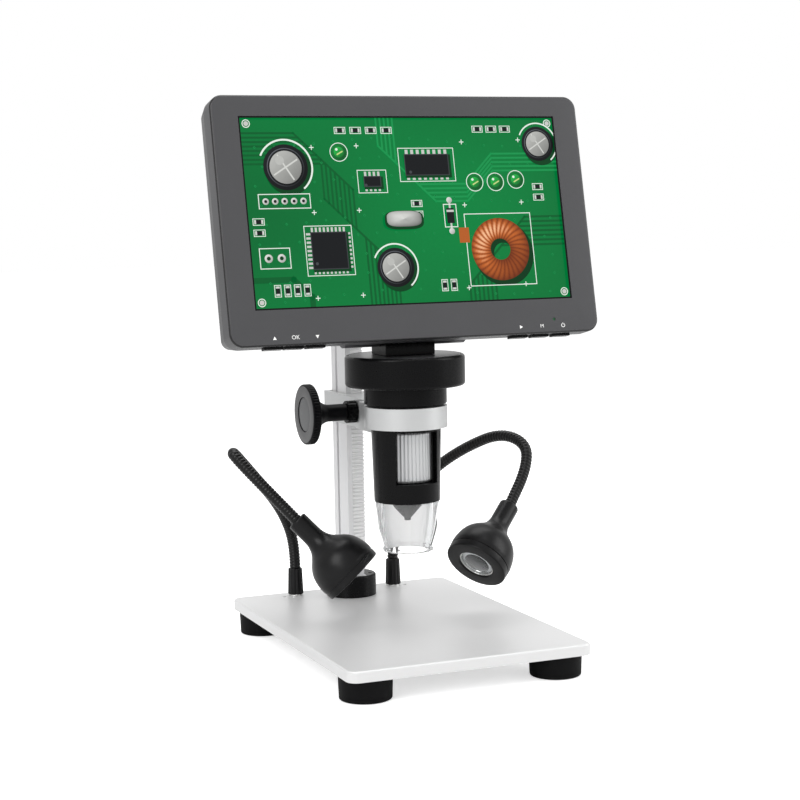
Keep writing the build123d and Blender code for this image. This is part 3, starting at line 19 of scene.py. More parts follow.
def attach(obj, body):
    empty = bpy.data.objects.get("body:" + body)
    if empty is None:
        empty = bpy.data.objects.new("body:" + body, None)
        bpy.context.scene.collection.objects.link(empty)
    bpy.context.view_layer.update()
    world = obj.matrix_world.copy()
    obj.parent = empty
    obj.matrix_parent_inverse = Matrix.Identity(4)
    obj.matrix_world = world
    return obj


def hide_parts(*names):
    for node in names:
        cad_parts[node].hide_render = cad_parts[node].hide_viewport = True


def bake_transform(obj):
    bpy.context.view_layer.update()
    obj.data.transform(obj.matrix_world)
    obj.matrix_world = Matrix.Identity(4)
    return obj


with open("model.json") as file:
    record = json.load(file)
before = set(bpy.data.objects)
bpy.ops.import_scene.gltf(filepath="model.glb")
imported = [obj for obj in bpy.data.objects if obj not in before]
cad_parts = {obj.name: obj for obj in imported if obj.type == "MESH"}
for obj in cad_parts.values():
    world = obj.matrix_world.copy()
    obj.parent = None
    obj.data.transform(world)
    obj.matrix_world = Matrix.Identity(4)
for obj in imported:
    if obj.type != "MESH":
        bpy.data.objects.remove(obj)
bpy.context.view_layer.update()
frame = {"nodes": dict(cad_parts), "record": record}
MM = 0.001
TURN = 2 * math.pi

# %% [markdown]
# ## Colours and nodes
#
# Paint charts give colours as sRGB hex values, while a renderer adds light in linear values, so one
# function turns one into the other. A second one puts a node into a material. A setting of the node
# is a keyword, and an input is a number, a colour, an output of another node or that node itself,
# which stands for its first output. A third one puts an object into the scene.

# %% Colour and node helpers
def linear(hex_colour):
    """sRGB hex to linear red, green, blue and alpha: v/12.92 below 0.04045, else ((v+0.055)/1.055)^2.4."""
    value = np.array([int(hex_colour[i:i + 2], 16) for i in (1, 3, 5)]) / 255
    low, high = value / 12.92, ((value + 0.055) / 1.055) ** 2.4
    return (*np.where(value <= 0.04045, low, high), 1.0)


def rgb(hex_colour):
    """sRGB hex to linear red, green and blue."""
    return np.array(linear(hex_colour)[:3])


def add_node(tree, kind, inputs=None, **settings):
    """Adds one shader node of a kind, sets its settings, and sets or links its inputs by name or number."""
    made = tree.nodes.new("ShaderNode" + kind)
    for key, value in settings.items():
        setattr(made, key, value)
    for key, value in (inputs or {}).items():
        if isinstance(value, bpy.types.Node):
            value = value.outputs[0]
        if isinstance(value, bpy.types.NodeSocket):
            tree.links.new(value, made.inputs[key])
        else:
            made.inputs[key].default_value = value
    return made


def placed(name, data):
    """New object of some data, in the scene."""
    made = bpy.data.objects.new(name, data)
    bpy.context.scene.collection.objects.link(made)
    return made


def new_material(name):
    """A node material without nodes, and its node tree."""
    material = bpy.data.materials.new(name)
    material.use_nodes = True
    material.node_tree.nodes.clear()
    return material, material.node_tree


# %% [markdown]
# ## Camera
#
# The lens is long, so the upright lines hardly converge. The camera's axes are worked out from three
# angles: yaw from +Y toward +X, pitch below the horizon and a little roll.

# %% Camera
CAMERA_AT = np.array([-322.785, -793.321, 209.423]) * MM
YAW, PITCH, ROLL = (math.radians(a) for a in (22.23, 5.96, 1.086))
LENS_MM, SENSOR_MM = 82.787, 36.0


def camera_axes(yaw, pitch, roll):
    """Right, up and forward unit vectors of a camera with those angles."""
    forward = np.array([math.sin(yaw) * math.cos(pitch), math.cos(yaw) * math.cos(pitch), -math.sin(pitch)])
    level = np.array([math.cos(yaw), -math.sin(yaw), 0.0])
    down = np.cross(forward, level)
    right = math.cos(roll) * level + math.sin(roll) * down
    return right, -(math.cos(roll) * down - math.sin(roll) * level), forward


RIGHT, UP, FORWARD = camera_axes(YAW, PITCH, ROLL)
camera_data = bpy.data.cameras.new("camera")
camera_data.lens, camera_data.sensor_width, camera_data.sensor_fit = LENS_MM, SENSOR_MM, "HORIZONTAL"
camera_data.clip_start, camera_data.clip_end = 0.05, 20.0
camera = placed("camera", camera_data)
pose = np.eye(4)
pose[:3] = np.column_stack([RIGHT, UP, -FORWARD, CAMERA_AT])
camera.matrix_world = Matrix(pose.tolist())
bpy.context.scene.camera = camera
bpy.context.scene.view_settings.view_transform = "Standard"
print("camera axes", np.round([RIGHT, UP, FORWARD], 3).tolist())

# %% [markdown]
# ## Light, room and floor
#
# A product like this is lit by big soft boxes in a white room. The world gives the even part of the
# light and three large area lamps give the shapes. The room and the floor look white to the eye and
# in reflections, while the floor still takes the object's soft shadow.

# %% White room
WORLD_LIGHT, ROOM_SHINE = 0.55, 0.85


def seen_directly(tree):
    """A tree's light path, and an output that is 1 for rays from the camera and through glass."""
    path = add_node(tree, "LightPath")
    seen = add_node(tree, "Math", {0: path.outputs["Is Camera Ray"], 1: path.outputs["Is Transmission Ray"]},
                    operation="MAXIMUM")
    return path, seen.outputs[0]


def white_room(world):
    """World that lights at WORLD_LIGHT, is white to the camera and in glass, and ROOM_SHINE in gloss."""
    world.use_nodes = True
    tree = world.node_tree
    tree.nodes.clear()
    path, seen = seen_directly(tree)
    level = add_node(tree, "MapRange", {"Value": seen, "To Min": WORLD_LIGHT, "To Max": 1.0})
    shine = add_node(tree, "MapRange", {"Value": path.outputs["Is Glossy Ray"], "To Min": level,
                                        "To Max": ROOM_SHINE})
    back = add_node(tree, "Background", {"Color": (1, 1, 1, 1), "Strength": shine})
    add_node(tree, "OutputWorld", {"Surface": back})


bpy.context.scene.world = bpy.context.scene.world or bpy.data.worlds.new("room")
white_room(bpy.context.scene.world)

# %% Soft boxes
def soft_box(name, at, aim, size, power):
    """Rectangular area lamp at a place, facing a point, in metres and watts."""
    data = bpy.data.lights.new(name, "AREA")
    data.shape, data.size, data.size_y, data.energy = "RECTANGLE", size[0], size[1], power
    lamp = placed(name, data)
    lamp.location = at
    lamp.rotation_euler = (Vector(aim) - Vector(at)).to_track_quat("-Z", "Y").to_euler()


MIDDLE = (0, 0, 0.12)
soft_box("left_box", (-0.95, -0.75, 0.85), MIDDLE, (0.7, 0.9), 9.5)
soft_box("right_box", (0.95, -0.45, 0.55), MIDDLE, (0.5, 0.8), 4.5)
soft_box("top_box", (0.1, 0.2, 1.25), MIDDLE, (0.9, 0.9), 8.0)

# %% Floor
FLOOR_HALF, FLOOR_Z, FLOOR_GLOW = 6.0, -0.0002, 0.56
floor_mesh = bpy.data.meshes.new("floor")
corners = [(x * FLOOR_HALF, y * FLOOR_HALF, FLOOR_Z) for x, y in ((-1, -1), (1, -1), (1, 1), (-1, 1))]
floor_mesh.from_pydata(corners, [], [(0, 1, 2, 3)])
floor = placed("floor", floor_mesh)
paper, tree = new_material("white_paper_floor")
seen = seen_directly(tree)[1]
glow = add_node(tree, "Math", {0: seen, 1: FLOOR_GLOW}, operation="MULTIPLY")
sheet_light = add_node(tree, "Emission", {"Color": (1, 1, 1, 1), "Strength": glow})
sheet = add_node(tree, "BsdfDiffuse", {"Color": linear("#f4f4f4")})
add_node(tree, "OutputMaterial", {"Surface": add_node(tree, "AddShader", {0: sheet, 1: sheet_light})})
floor_mesh.materials.append(paper)

# %% [markdown]
# ## Finishes
#
# Every finish starts from what the real one is and how its surface was made. Mould makers etch
# plastic with a fine random texture, aluminium is blasted with glass beads before it is anodised,
# and a drawn bar keeps lines along its length. One builder makes all but the clear ones: a base colour
# that drifts a little, a roughness that drifts a little, and one bump of a stated grain in millimetres.

# %% Finish builder
CLOUD_SCALE = 45.0


def finish(name, colour, roughness, grain_mm, bump_mm, metallic=0.0, drift=0.06, stretch=(1, 1, 1),
           rough_drift=0.06, specular=0.5):
    """Principled finish. grain_mm is the size of the surface's texture, bump_mm its depth, stretch makes
    the grain longer along an axis, and drift is how far colour wanders over centimetres."""
    material, tree = new_material(name)
    at = add_node(tree, "TexCoord").outputs["Object"]
    longer = add_node(tree, "Mapping", {"Vector": at, "Scale": tuple(1 / s for s in stretch)})
    grain = add_node(tree, "TexNoise", {"Vector": longer, "Scale": 1 / (grain_mm * MM), "Detail": 3.0,
                                        "Roughness": 0.6})
    cloud = add_node(tree, "TexNoise", {"Vector": at, "Scale": CLOUD_SCALE, "Detail": 2.0})
    shades = add_node(tree, "MixRGB", {"Fac": cloud, "Color1": (*(rgb(colour) * (1 - drift)), 1),
                                       "Color2": (*(rgb(colour) * (1 + drift)), 1)})
    rough = add_node(tree, "MapRange", {"Value": grain, "From Min": 0.3, "From Max": 0.7,
                                        "To Min": roughness - rough_drift, "To Max": roughness + rough_drift})
    bump = add_node(tree, "Bump", {"Height": grain, "Distance": bump_mm * MM, "Strength": 1.0})
    shader = add_node(tree, "BsdfPrincipled", {"Base Color": shades, "Roughness": rough, "Normal": bump,
                                               "Metallic": metallic, "Specular IOR Level": specular})
    add_node(tree, "OutputMaterial", {"Surface": shader})
    return material


# %% Metals
# Anodised aluminium, blasted with fine beads: pale and even. The clear oxide scatters light, so it is
# only partly metallic to the eye, with a soft sheen and no direction.
ANODISED = finish("bead_blasted_anodised_aluminium", "#c6c7c7", 0.36, 0.5, 0.008, metallic=0.7, drift=0.012)
# The plate's oxide is thicker and paler, and scuffs leave faint cloudy patches.
PLATE_OXIDE = finish("pale_anodised_plate", "#dedede", 0.40, 0.6, 0.004, metallic=0.38, drift=0.008,
                     rough_drift=0.02)
# Extruded aluminium column: the die leaves faint lines along the bar.
EXTRUDED = finish("extruded_anodised_aluminium", "#dfdfe0", 0.34, 0.25, 0.005, metallic=0.5, drift=0.015,
                  stretch=(1, 1, 60))
# Steel rack. Its near-white satin colour, paler than the column, paints light into its tooth gaps,
# so the teeth read as fine lines rather than dark gaps.
PALE_RACK_PAINTED_LIGHT = finish("pale_rack_steel_painted_light", "#f0f0f0", 0.50, 0.3, 0.003, metallic=0.1, drift=0.015)
# Milled steel shafts: darker and harder than the aluminium.
MILLED_STEEL = finish("milled_steel", "#8f9092", 0.36, 0.3, 0.008, metallic=1.0, drift=0.05)
# Screws are zinc plated, which is bright with a blue-grey cast.
ZINC_STEEL = finish("zinc_plated_steel", "#b4b5b8", 0.28, 0.4, 0.004, metallic=1.0, drift=0.06)
# Turned brass gears show a warm, fairly sharp shine.
BRASS = finish("turned_brass", "#c9a45c", 0.28, 0.3, 0.004, metallic=1.0)
# Nickel over steel is the sharpest mirror on the object.
NICKEL = finish("bright_nickel_plate", "#d6d6d4", 0.14, 0.4, 0.002, metallic=1.0, drift=0.01)
# A vacuum-metallised shoulder is bright but soft, and the dome in it is smoked plastic.
REFLECTOR = finish("vacuum_metallised_reflector", "#fafafa", 0.36, 0.4, 0.002, metallic=0.2, drift=0.02)
LAMP_DOME = finish("smoked_lamp_dome", "#141517", 0.22, 0.4, 0.002, specular=0.4)
# Silver paint holds fine flakes, so it shines like metal but scatters more.
SILVER_PAINT = finish("silver_painted_plastic", "#c4c5c6", 0.34, 0.35, 0.001, metallic=0.6, drift=0.01,
                      rough_drift=0.02)

# %% Plastics and rubber
# Black ABS from a fine-stoned mould: a close satin skin, dark seen square on, pale along its edges.
BLACK_ABS = finish("satin_black_abs", "#09090a", 0.27, 0.45, 0.003, specular=0.11)
# The disc's lid comes from a polished mould; its colour is a shade paler than the black ABS, a painted
# reflection of the room that its top shows at a low angle.
LID_ABS_PAINTED_SHEEN = finish("polished_lid_abs_painted_sheen", "#3a3a3c", 0.30, 0.5, 0.001, specular=1.0, rough_drift=0.02)
# Satin black paint on the lamps: smoother, so the soft boxes draw long highlights on it.
LAMP_BLACK = finish("satin_black_lamp_paint", "#0c0c0d", 0.34, 0.35, 0.004, specular=0.22)
# The gooseneck's wound wire is blackened and oiled, which puts a glint on every turn.
GOOSE_BLACK = finish("black_oxide_wound_steel", "#0a0a0a", 0.30, 0.5, 0.003, specular=0.26)
# Moulded rubber has almost no gloss.
RUBBER = finish("moulded_rubber", "#0c0c0d", 0.62, 0.6, 0.02, specular=0.10)
# The lens nose is a greyer ABS, so its cone shows through the clear skirt.
NOSE_ABS = finish("grey_black_nose_abs", "#1c1c1d", 0.4, 0.4, 0.006, specular=0.3)
# The knob's soft-touch black is duller than the head, and its grey face and cap are spun and moulded.
KNOB_BLACK = finish("soft_black_knob_plastic", "#08080a", 0.42, 0.4, 0.006, specular=0.10)
KNOB_FACE = finish("spun_grey_knob_face", "#474748", 0.34, 0.4, 0.006, specular=0.4)
KNOB_GREY = finish("grey_knob_cap_plastic", "#575859", 0.40, 0.4, 0.006, specular=0.35)
# The monitor's grey ABS is etched, so it looks even; its rounded edge is polished, and its darker
# colour there is a painted reflection of the dark bench in front.
GREY_ABS = finish("etched_grey_abs", "#424244", 0.42, 0.5, 0.012, specular=0.42)
EDGE_PAINTED_REFLECTION = finish("bezel_edge_painted_dark_reflection", "#202021", 0.25, 0.5, 0.002, specular=0.3)
# Acetal guides look like milk glass, and solder mask is a thin gloss over the board's weave.
ACETAL = finish("white_acetal", "#e6e4de", 0.40, 0.5, 0.004)
GREEN_BOARD = finish("green_solder_mask", "#1d5a34", 0.30, 0.8, 0.01)
WHITE_BOARD = finish("white_solder_mask", "#dcdcd8", 0.34, 0.8, 0.01)

# %% Clear plastics
def rippled(tree, scale, depth_mm, strength):
    """Object coordinates, and the bump of the faint ripple that a moulding keeps from its mould."""
    at = add_node(tree, "TexCoord").outputs["Object"]
    ripple = add_node(tree, "TexNoise", {"Vector": at, "Scale": scale, "Detail": 1.0})
    return at, add_node(tree, "Bump", {"Height": ripple, "Distance": depth_mm * MM, "Strength": strength})


def clear_finish(name, tint, roughness, ior):
    """Transparent moulding: light passes, and only its edges and gloss show."""
    material, tree = new_material(name)
    bump = rippled(tree, 260.0, 0.02, 0.6)[1]
    shader = add_node(tree, "BsdfPrincipled", {"Base Color": linear(tint), "Roughness": roughness, "IOR": ior,
                                               "Transmission Weight": 1.0, "Normal": bump})
    add_node(tree, "OutputMaterial", {"Surface": shader})
    return material


# Polished acrylic and coated glass: nearly clear, with sharp reflections.
CLEAR_PMMA = clear_finish("clear_acrylic", "#f6f8f9", 0.03, 1.49)
GLASS = clear_finish("coated_lens_glass", "#f2f4fb", 0.0, 1.52)

# %% Half-frosted acrylic
# A thin-walled acrylic skirt, clear in front and frosted on its rear half, which puts a bright even ground
# behind the nose. It hardly bends the view, so its index is lowered from 1.49; its rims look grey
# because light that meets them edge on has a long way through the wall.
def half_frosted_finish(name, face_tint, edge_tint, clear, change_y, front, rear):
    """Moulding that lets the share clear of the light through at each face and scatters the rest. Its
    roughness and index go from front to rear between two depths in mm along Y, and its tint from
    face_tint, seen square on, to edge_tint, seen edge on."""
    material, tree = new_material(name)
    at, bump = rippled(tree, 180.0, 0.03, 0.5)
    depth = add_node(tree, "SeparateXYZ", {"Vector": at}).outputs["Y"]
    start, end = change_y
    rough, index = (add_node(tree, "MapRange", {"Value": depth, "From Min": start * MM, "From Max": end * MM,
                                                "To Min": ahead, "To Max": back})
                    for ahead, back in zip(front, rear))
    edge = add_node(tree, "LayerWeight", {"Blend": 0.35})
    tint = add_node(tree, "MixRGB", {"Fac": edge.outputs["Facing"], "Color1": linear(face_tint),
                                     "Color2": linear(edge_tint)})
    shader = add_node(tree, "BsdfPrincipled", {"Base Color": tint, "Roughness": rough, "IOR": index,
                                               "Transmission Weight": clear, "Normal": bump})
    add_node(tree, "OutputMaterial", {"Surface": shader})
    return material


HOOD_CLEAR = half_frosted_finish("half_frosted_acrylic", "#f1f1f1", "#d4d6d7", 0.92, (-9.0, -5.0),
                                 (0.02, 1.05), (0.62, 1.42))
# The panel's glass is black where the picture doesn't cover it.
SCREEN_BLACK = finish("display_glass", "#0a1f14", 0.12, 0.6, 0.001, specular=0.5)

# %% [markdown]
# ## Which node gets which finish
#
# The record names a slot for every node, such as satin aluminium or black plastic. Most nodes take
# the finish of their slot, and the rest are named one by one.

# %% Finishes of the engineering nodes
KEYS = ("up", "ok", "down", "mode", "photo", "power")
SLOT_FINISH = {
    "satin_aluminium": ANODISED, "screw_steel": ZINC_STEEL, "rack_steel": MILLED_STEEL, "drive_brass": BRASS,
    "foot_rubber": RUBBER, "black_plastic": BLACK_ABS, "guide_plastic": ACETAL, "knob_plastic": KNOB_BLACK,
    "knob_cap_plastic": KNOB_GREY, "silver_plastic": SILVER_PAINT, "clear_plastic": CLEAR_PMMA,
    "lens_glass": GLASS, "green_board": GREEN_BOARD, "white_board": WHITE_BOARD, "grey_plastic": GREY_ABS,
    "screen_glass": SCREEN_BLACK, "lamp_plastic": LAMP_BLACK, "gooseneck_black": GOOSE_BLACK,
    "socket_metal": NICKEL,
}
for part in frame["record"]["subparts"]:
    node = frame["nodes"][part["node"]]
    node.data.materials.clear()
    node.data.materials.append(SLOT_FINISH[part["material_slot"]])
for node, material in (("column", EXTRUDED), ("column_rack", PALE_RACK_PAINTED_LIGHT), ("base_plate", PLATE_OXIDE),
                       *((f"button_{key}", BLACK_ABS) for key in KEYS)):
    frame["nodes"][node].data.materials[0] = material
print("slots", len(SLOT_FINISH))

# %% [markdown]
# ## Surfaces from arrays
#
# Moulded and turned pieces are surfaces of two parameters: along a profile and round an axis, or
# along a path and round it. Blender's own primitives could be stretched into place instead, but a
# grid of points worked out with numpy keeps every size in millimetres where it can be read.

# %% Unit vectors and grids
def unit(vector):
    """A vector, or rows of vectors, divided by their length."""
    vector = np.asarray(vector, float)
    return vector / np.linalg.norm(vector, axis=-1, keepdims=True)


def grid_quads(rows, columns, close_rows=False, close_columns=True):
    """Index quads that join each point of a grid with its neighbours along, across and diagonally."""
    r, c = np.meshgrid(np.arange(rows - (not close_rows)), np.arange(columns - (not close_columns)),
                       indexing="ij")
    r_next, c_next = (r + 1) % rows, (c + 1) % columns
    return np.stack([r * columns + c, r * columns + c_next, r_next * columns + c_next, r_next * columns + c],
                    -1).reshape(-1, 4)


# %% Lines with rounded corners
def without_doubles(line):
    """The line's points without those that lie on the one before."""
    return line[np.append(True, np.linalg.norm(np.diff(line, axis=0), axis=1) > 1e-6)]


def arcs(a, c, b, steps):
    """Points (1-t)^2 A + 2t(1-t) C + t^2 B for t from 0 to 1, for each row of A, C and B in turn."""
    a, c, b, t = a[:, None], c[:, None], b[:, None], np.linspace(0, 1, steps)[None, :, None]
    return ((1 - t) ** 2 * a + 2 * t * (1 - t) * c + t ** 2 * b).reshape(-1, a.shape[-1])


def rounded(corners, cuts, steps=6, closed=False):
    """Line through corners that leaves it a cut's length before each one and meets it as far behind,
    on an arc between."""
    corners = np.asarray(corners, float)
    cuts = np.broadcast_to(np.asarray(cuts, float), len(corners)).copy()
    if not closed:
        cuts[[0, -1]] = 0
    before = unit(np.roll(corners, 1, 0) - corners) * cuts[:, None]
    after = unit(np.roll(corners, -1, 0) - corners) * cuts[:, None]
    return without_doubles(arcs(corners + before, corners, corners + after, steps))


def through(points, steps=8):
    """Smooth line through points: each run is a cubic whose end slopes are half the chord between the
    points on each side of that end."""
    points = np.asarray(points, float)
    padded = np.vstack([2 * points[0] - points[1], points, 2 * points[-1] - points[-2]])
    a, b, c, d = padded[:-3, None], padded[1:-2, None], padded[2:-1, None], padded[3:, None]
    t = np.linspace(0, 1, steps, endpoint=False)[None, :, None]
    runs = (b + 0.5 * t * (c - a) + t ** 2 * (a - 2.5 * b + 2 * c - 0.5 * d)
            + t ** 3 * (1.5 * (b - c) + 0.5 * (d - a)))
    return np.vstack([runs.reshape(-1, points.shape[1]), points[-1:]])


# %% Pieces in the scene
# Points closer than this, in metres, become one.
WELD = 1e-7


def rework(mesh, merge, *steps):
    """Merges points closer than merge, in metres, where it isn't 0, then runs each step on the mesh."""
    work = bmesh.new()
    work.from_mesh(mesh)
    if merge:
        bmesh.ops.remove_doubles(work, verts=work.verts, dist=merge)
    for step in steps:
        step(work)
    work.to_mesh(mesh)
    work.free()


def smooth(mesh, sharp):
    """Smooth shading but for edges sharper than an angle in degrees."""
    mesh.shade_smooth()
    mesh.set_sharp_from_angle(angle=math.radians(sharp))


def piece(name, points, faces, material, body, replaces=(), sharp=32.0, weld=True):
    """Mesh piece from points in millimetres: doubles welded, faces turned outward, smooth but for edges
    sharper than the given angle; it rides on a body and may stand for nodes."""
    mesh = bpy.data.meshes.new(name)
    mesh.from_pydata((np.asarray(points, float).reshape(-1, 3) * MM).tolist(), [], np.asarray(faces).tolist())
    if weld:
        rework(mesh, WELD, lambda work: bmesh.ops.recalc_face_normals(work, faces=work.faces))
    smooth(mesh, sharp)
    mesh.materials.append(material)
    made = placed(name, mesh)
    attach(made, body)
    if replaces:
        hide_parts(*replaces)
    return made


# %% Turned pieces
def axes(origin, along, toward=(1, 0, 0)):
    """Frame as origin, x, y and z, with z along a direction and x as near to another as it can be."""
    z = unit(along)
    x = unit(np.asarray(toward, float) - np.dot(toward, z) * z)
    return np.asarray(origin, float), x, np.cross(z, x), z


def revolved(profile, frame_axes, around=96, radius_factor=None, closed=False):
    """Points origin + r cos a x + r sin a y + h z for each (r, h) of a profile and each angle a, and
    their quads; radius_factor is a grid that scales r."""
    origin, x, y, z = frame_axes
    r, h = np.asarray(profile, float).T[:, :, None]
    a = np.linspace(0, TURN, around, endpoint=False)[None, :]
    if radius_factor is not None:
        r = r * radius_factor(a, h)
    across, up = (r * np.cos(a))[..., None] * x, (r * np.sin(a))[..., None] * y
    points = origin + across + up + (h + 0 * a)[..., None] * z
    return points.reshape(-1, 3), grid_quads(len(profile), around, closed)


def turned(name, profile, about, material, body, replaces, around=96, sharp=32.0, radius_factor=None,
           closed=False):
    """A piece made of a profile turned about an axis."""
    points, quads = revolved(profile, about, around, radius_factor, closed)
    piece(name, points, quads, material, body, replaces, sharp)


# %% [markdown]
# ## Lamps and their goosenecks
#
# A gooseneck is a steel coil wound with a wedge wire, so it shows fine ribs that run round it as a
# screw thread. The lamp on its end is a painted bell: a flat rim, a fine seam a few millimetres
# behind it, a round back and a long neck. Behind its clear lens sits a dark dome inside a bright
# sloping shoulder. The bell is a profile turned about the lamp's axis. The tube is a circle carried
# along a bent line, with the ribs worked into its radius.

# %% Bent lines and tubes
def bent_line(corners, spacing):
    """Points at even spacing on the curve that touches the middle of every run of the corners' line and
    follows an arc between two middles, and each one's distance along it."""
    corners = np.asarray(corners, float)
    middles = (corners[:-1] + corners[1:]) / 2
    bends = arcs(middles[:-1], corners[1:-1], middles[1:], 40)
    line = without_doubles(np.vstack([corners[:1], bends, corners[-1:]]))
    length = np.append(0, np.cumsum(np.linalg.norm(np.diff(line, axis=0), axis=1)))
    at = np.linspace(0, length[-1], int(length[-1] / spacing) + 1)
    return np.stack([np.interp(at, length, line[:, k]) for k in range(3)], 1), at


def tube(line, radius, reference, around):
    """Points line + r (cos a n + sin a b), where n is across the line and the reference and b across
    both, for a grid of radii; the ends are closed to a point."""
    tangent = unit(np.gradient(line, axis=0))
    n = unit(np.cross(tangent, reference))
    b = np.cross(tangent, n)
    a = np.linspace(0, TURN, around, endpoint=False)[None, :, None]
    r = np.broadcast_to(radius, (len(line), around))[..., None]
    rings = line[:, None] + r * (np.cos(a) * n[:, None] + np.sin(a) * b[:, None])
    start, end = np.repeat(line[:1, None], around, 1), np.repeat(line[-1:, None], around, 1)
    points = np.vstack([start, rings, end])
    return points.reshape(-1, 3), grid_quads(len(line) + 2, around)


# %% Places and sizes of the lamps
# In millimetres: corners of the gooseneck's line, the joint it bends at with that joint's axis, the middle
# of the lamp's face, and the direction it shines in.
LAMPS = {
    "left": {"corners": ((-26.6, 75.75, 19.0), (-26.6, 75.75, 38.5), (-29.5, 74.3, 51.0), (-38.5, 67.0, 65.5),
                         (-55.0, 52.0, 82.0), (-70.2, 36.8, 96.8), (-70.5, 29.2, 93.8)),
             "joint": (-63.816, 43.184, 90.584), "bend_axis": (0.7435, -0.0997, 0.6612),
             "face": (-21.9, 3.7, 37.5), "aim": (0.623, -0.334, -0.707)},
    "right": {"corners": ((26.6, 75.75, 19.0), (26.6, 75.75, 38.5), (33.5, 69.0, 63.0), (43.5, 57.5, 78.0),
                          (54.5, 44.5, 89.0), (66.5, 28.0, 97.5), (74.0, 13.5, 93.0), (70.5, 8.0, 81.0)),
              "joint": (60.5, 36.25, 93.25), "bend_axis": (0.7576, 0.2379, -0.6078),
              "face": (33.5, -12.3, 40.6), "aim": (-0.661, -0.39, -0.641)},
}
LAMP_LONG, NECK_OUT = 38.0, 0.6
RIB_PITCH, RIB_DEPTH, COIL_R, COIL_STEP, COIL_AROUND = 1.6, 0.34, 2.78, 0.16, 20
BEAD_R = 2.86
BEND_BEFORE, BEND_AFTER, BEND_MARGIN = 13.0, 9.0, 3.0
BELL = ((15.2, 3.75), (15.32, 6.0), (14.95, 9.0), (14.2, 12.0), (12.9, 14.8), (11.0, 17.2), (8.7, 19.4),
        (6.7, 21.6), (5.45, 24.2), (4.92, 27.0), (4.86, 32.0), (4.85, 36.6))

# %% Gooseneck
def gooseneck(side, lamp):
    """Three pieces of one ribbed tube: a lower one on the stand's side, one that bends across the joint
    and an upper one. Radius: coil radius less the depth times 1 - |sin(turn number / 2 + angle / 2)|^0.7."""
    back = -unit(lamp["aim"])
    pivot = np.asarray(lamp["face"]) + back * (LAMP_LONG + NECK_OUT)
    line, length = bent_line([*lamp["corners"], pivot], COIL_STEP)
    angle = np.linspace(0, TURN, COIL_AROUND, endpoint=False)[None, :]
    coil = np.abs(np.sin(TURN * length[:, None] / RIB_PITCH / 2 + angle / 2)) ** 0.7
    radius = COIL_R - RIB_DEPTH * (1 - coil)
    reach = np.linspace(0.3, BEAD_R, 9)[:, None]
    line = np.vstack([line, pivot - back * reach])
    radius = np.vstack([radius, np.sqrt(BEAD_R ** 2 - reach ** 2) + 0 * angle])
    middle = int(np.argmin(np.linalg.norm(line - np.asarray(lamp["joint"]), axis=1)))
    low, high = middle - int(BEND_BEFORE / COIL_STEP), middle + int(BEND_AFTER / COIL_STEP)
    spans = (("lower", 0, low + 1, side + "_neck"), ("bend", low, high + 1, None),
             ("upper", high, len(line), side + "_arm"))
    for part_name, start, end, body in spans:
        points, quads = tube(line[start:end], radius[start:end], lamp["bend_axis"], COIL_AROUND)
        made = piece(f"{side}_gooseneck_{part_name}", points, quads, GOOSE_BLACK, body or side + "_neck",
                     sharp=60)
        if body is None:
            made.parent = None
            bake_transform(made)
            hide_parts(side + "_lower_gooseneck", side + "_upper_gooseneck")
    print(side, "gooseneck", round(float(length[-1]), 1), "mm,", len(line), "rings")


# %% Bell, lens and dome
def lamp_bell(side, about):
    """Painted shell turned about the lamp's axis, h back from its rim."""
    rim = rounded(((0, 7.0), (8.75, 7.0), (8.75, 0.0), (15.05, 0.0), (15.2, 3.3), (14.85, 3.35), (14.85, 3.7),
                   (15.2, 3.75)), (0, 0, 0.35, 0.7, 0.05, 0.02, 0.02, 0.0))
    tail = rounded(((4.85, 36.6), (4.85, 38.0), (2.95, 38.0), (2.95, 34.0), (0, 34.0)), (0, 1.0, 0.25, 0, 0))
    turned(side + "_lamp_bell", np.vstack([rim, through(BELL, 6)[1:], tail[1:]]), about, LAMP_BLACK,
           side + "_lamp", (side + "_lamp_shell",), 128, 35)


def lamp_optics(side, about):
    """Domed clear lens, bright rim, and behind the lens a dark dome inside a bright sloping shoulder."""
    body = side + "_lamp"
    front = through(((0, 0.35), (3.0, 0.45), (5.0, 0.72), (6.6, 1.15), (8.05, 2.1)), 5)
    glass = np.vstack([front, [(8.05, 2.4), (6.4, 1.5), (4.8, 1.15), (0, 0.9)]])
    turned(side + "_lamp_glass", glass, about, CLEAR_PMMA, body, (side + "_lamp_lens",))
    ring = rounded(((8.1, 2.6), (8.1, 0.75), (8.72, 0.75), (8.72, 2.6)), 0.2, closed=True)
    turned(side + "_lamp_ring", ring, about, NICKEL, body, (), closed=True)
    shoulder = rounded(((6.1, 1.5), (8.1, 2.55), (8.1, 3.1), (6.1, 2.05)), 0.1, 4, closed=True)
    turned(side + "_lamp_reflector", shoulder, about, REFLECTOR, body, (side + "_lamp_module",),
           closed=True)
    steps = [(r, 1.0 + 0.012 * r * r + lift) for r in (1.2, 2.6, 4.0, 5.4) for lift in (0.0, 0.07)]
    dome = rounded([(0, 1.0), *steps, (6.15, 1.5), (6.15, 2.4), (0, 2.4)], (0, *[0.05] * 8, 0.1, 0, 0), 3)
    turned(side + "_lamp_dome", dome, about, LAMP_DOME, body, (), 72, 50)


# %% Both lamps
for side, lamp in LAMPS.items():
    gooseneck(side, lamp)
    lamp_axis = axes(lamp["face"], -unit(lamp["aim"]))
    lamp_bell(side, lamp_axis)
    lamp_optics(side, lamp_axis)

# %% [markdown]
# ## Clear hood
#
# The skirt under the head is one acrylic moulding. It is round at its top, where it plugs into the
# barrel, and turns into twelve flat facets toward its foot, which is what catches the light. A
# polygon's radius at angle a is cos(pi/n) / cos(a'), with a' measured from the middle of its facet, and
# the share of it grows as the skirt goes down.

# %% Hood
HEAD_Y = -10.2
HEAD = axes((0, HEAD_Y, 0), (0, 0, 1))
HOOD_FACETS, ROUND_ABOVE, FLAT_BELOW = 12, 73.0, 64.0


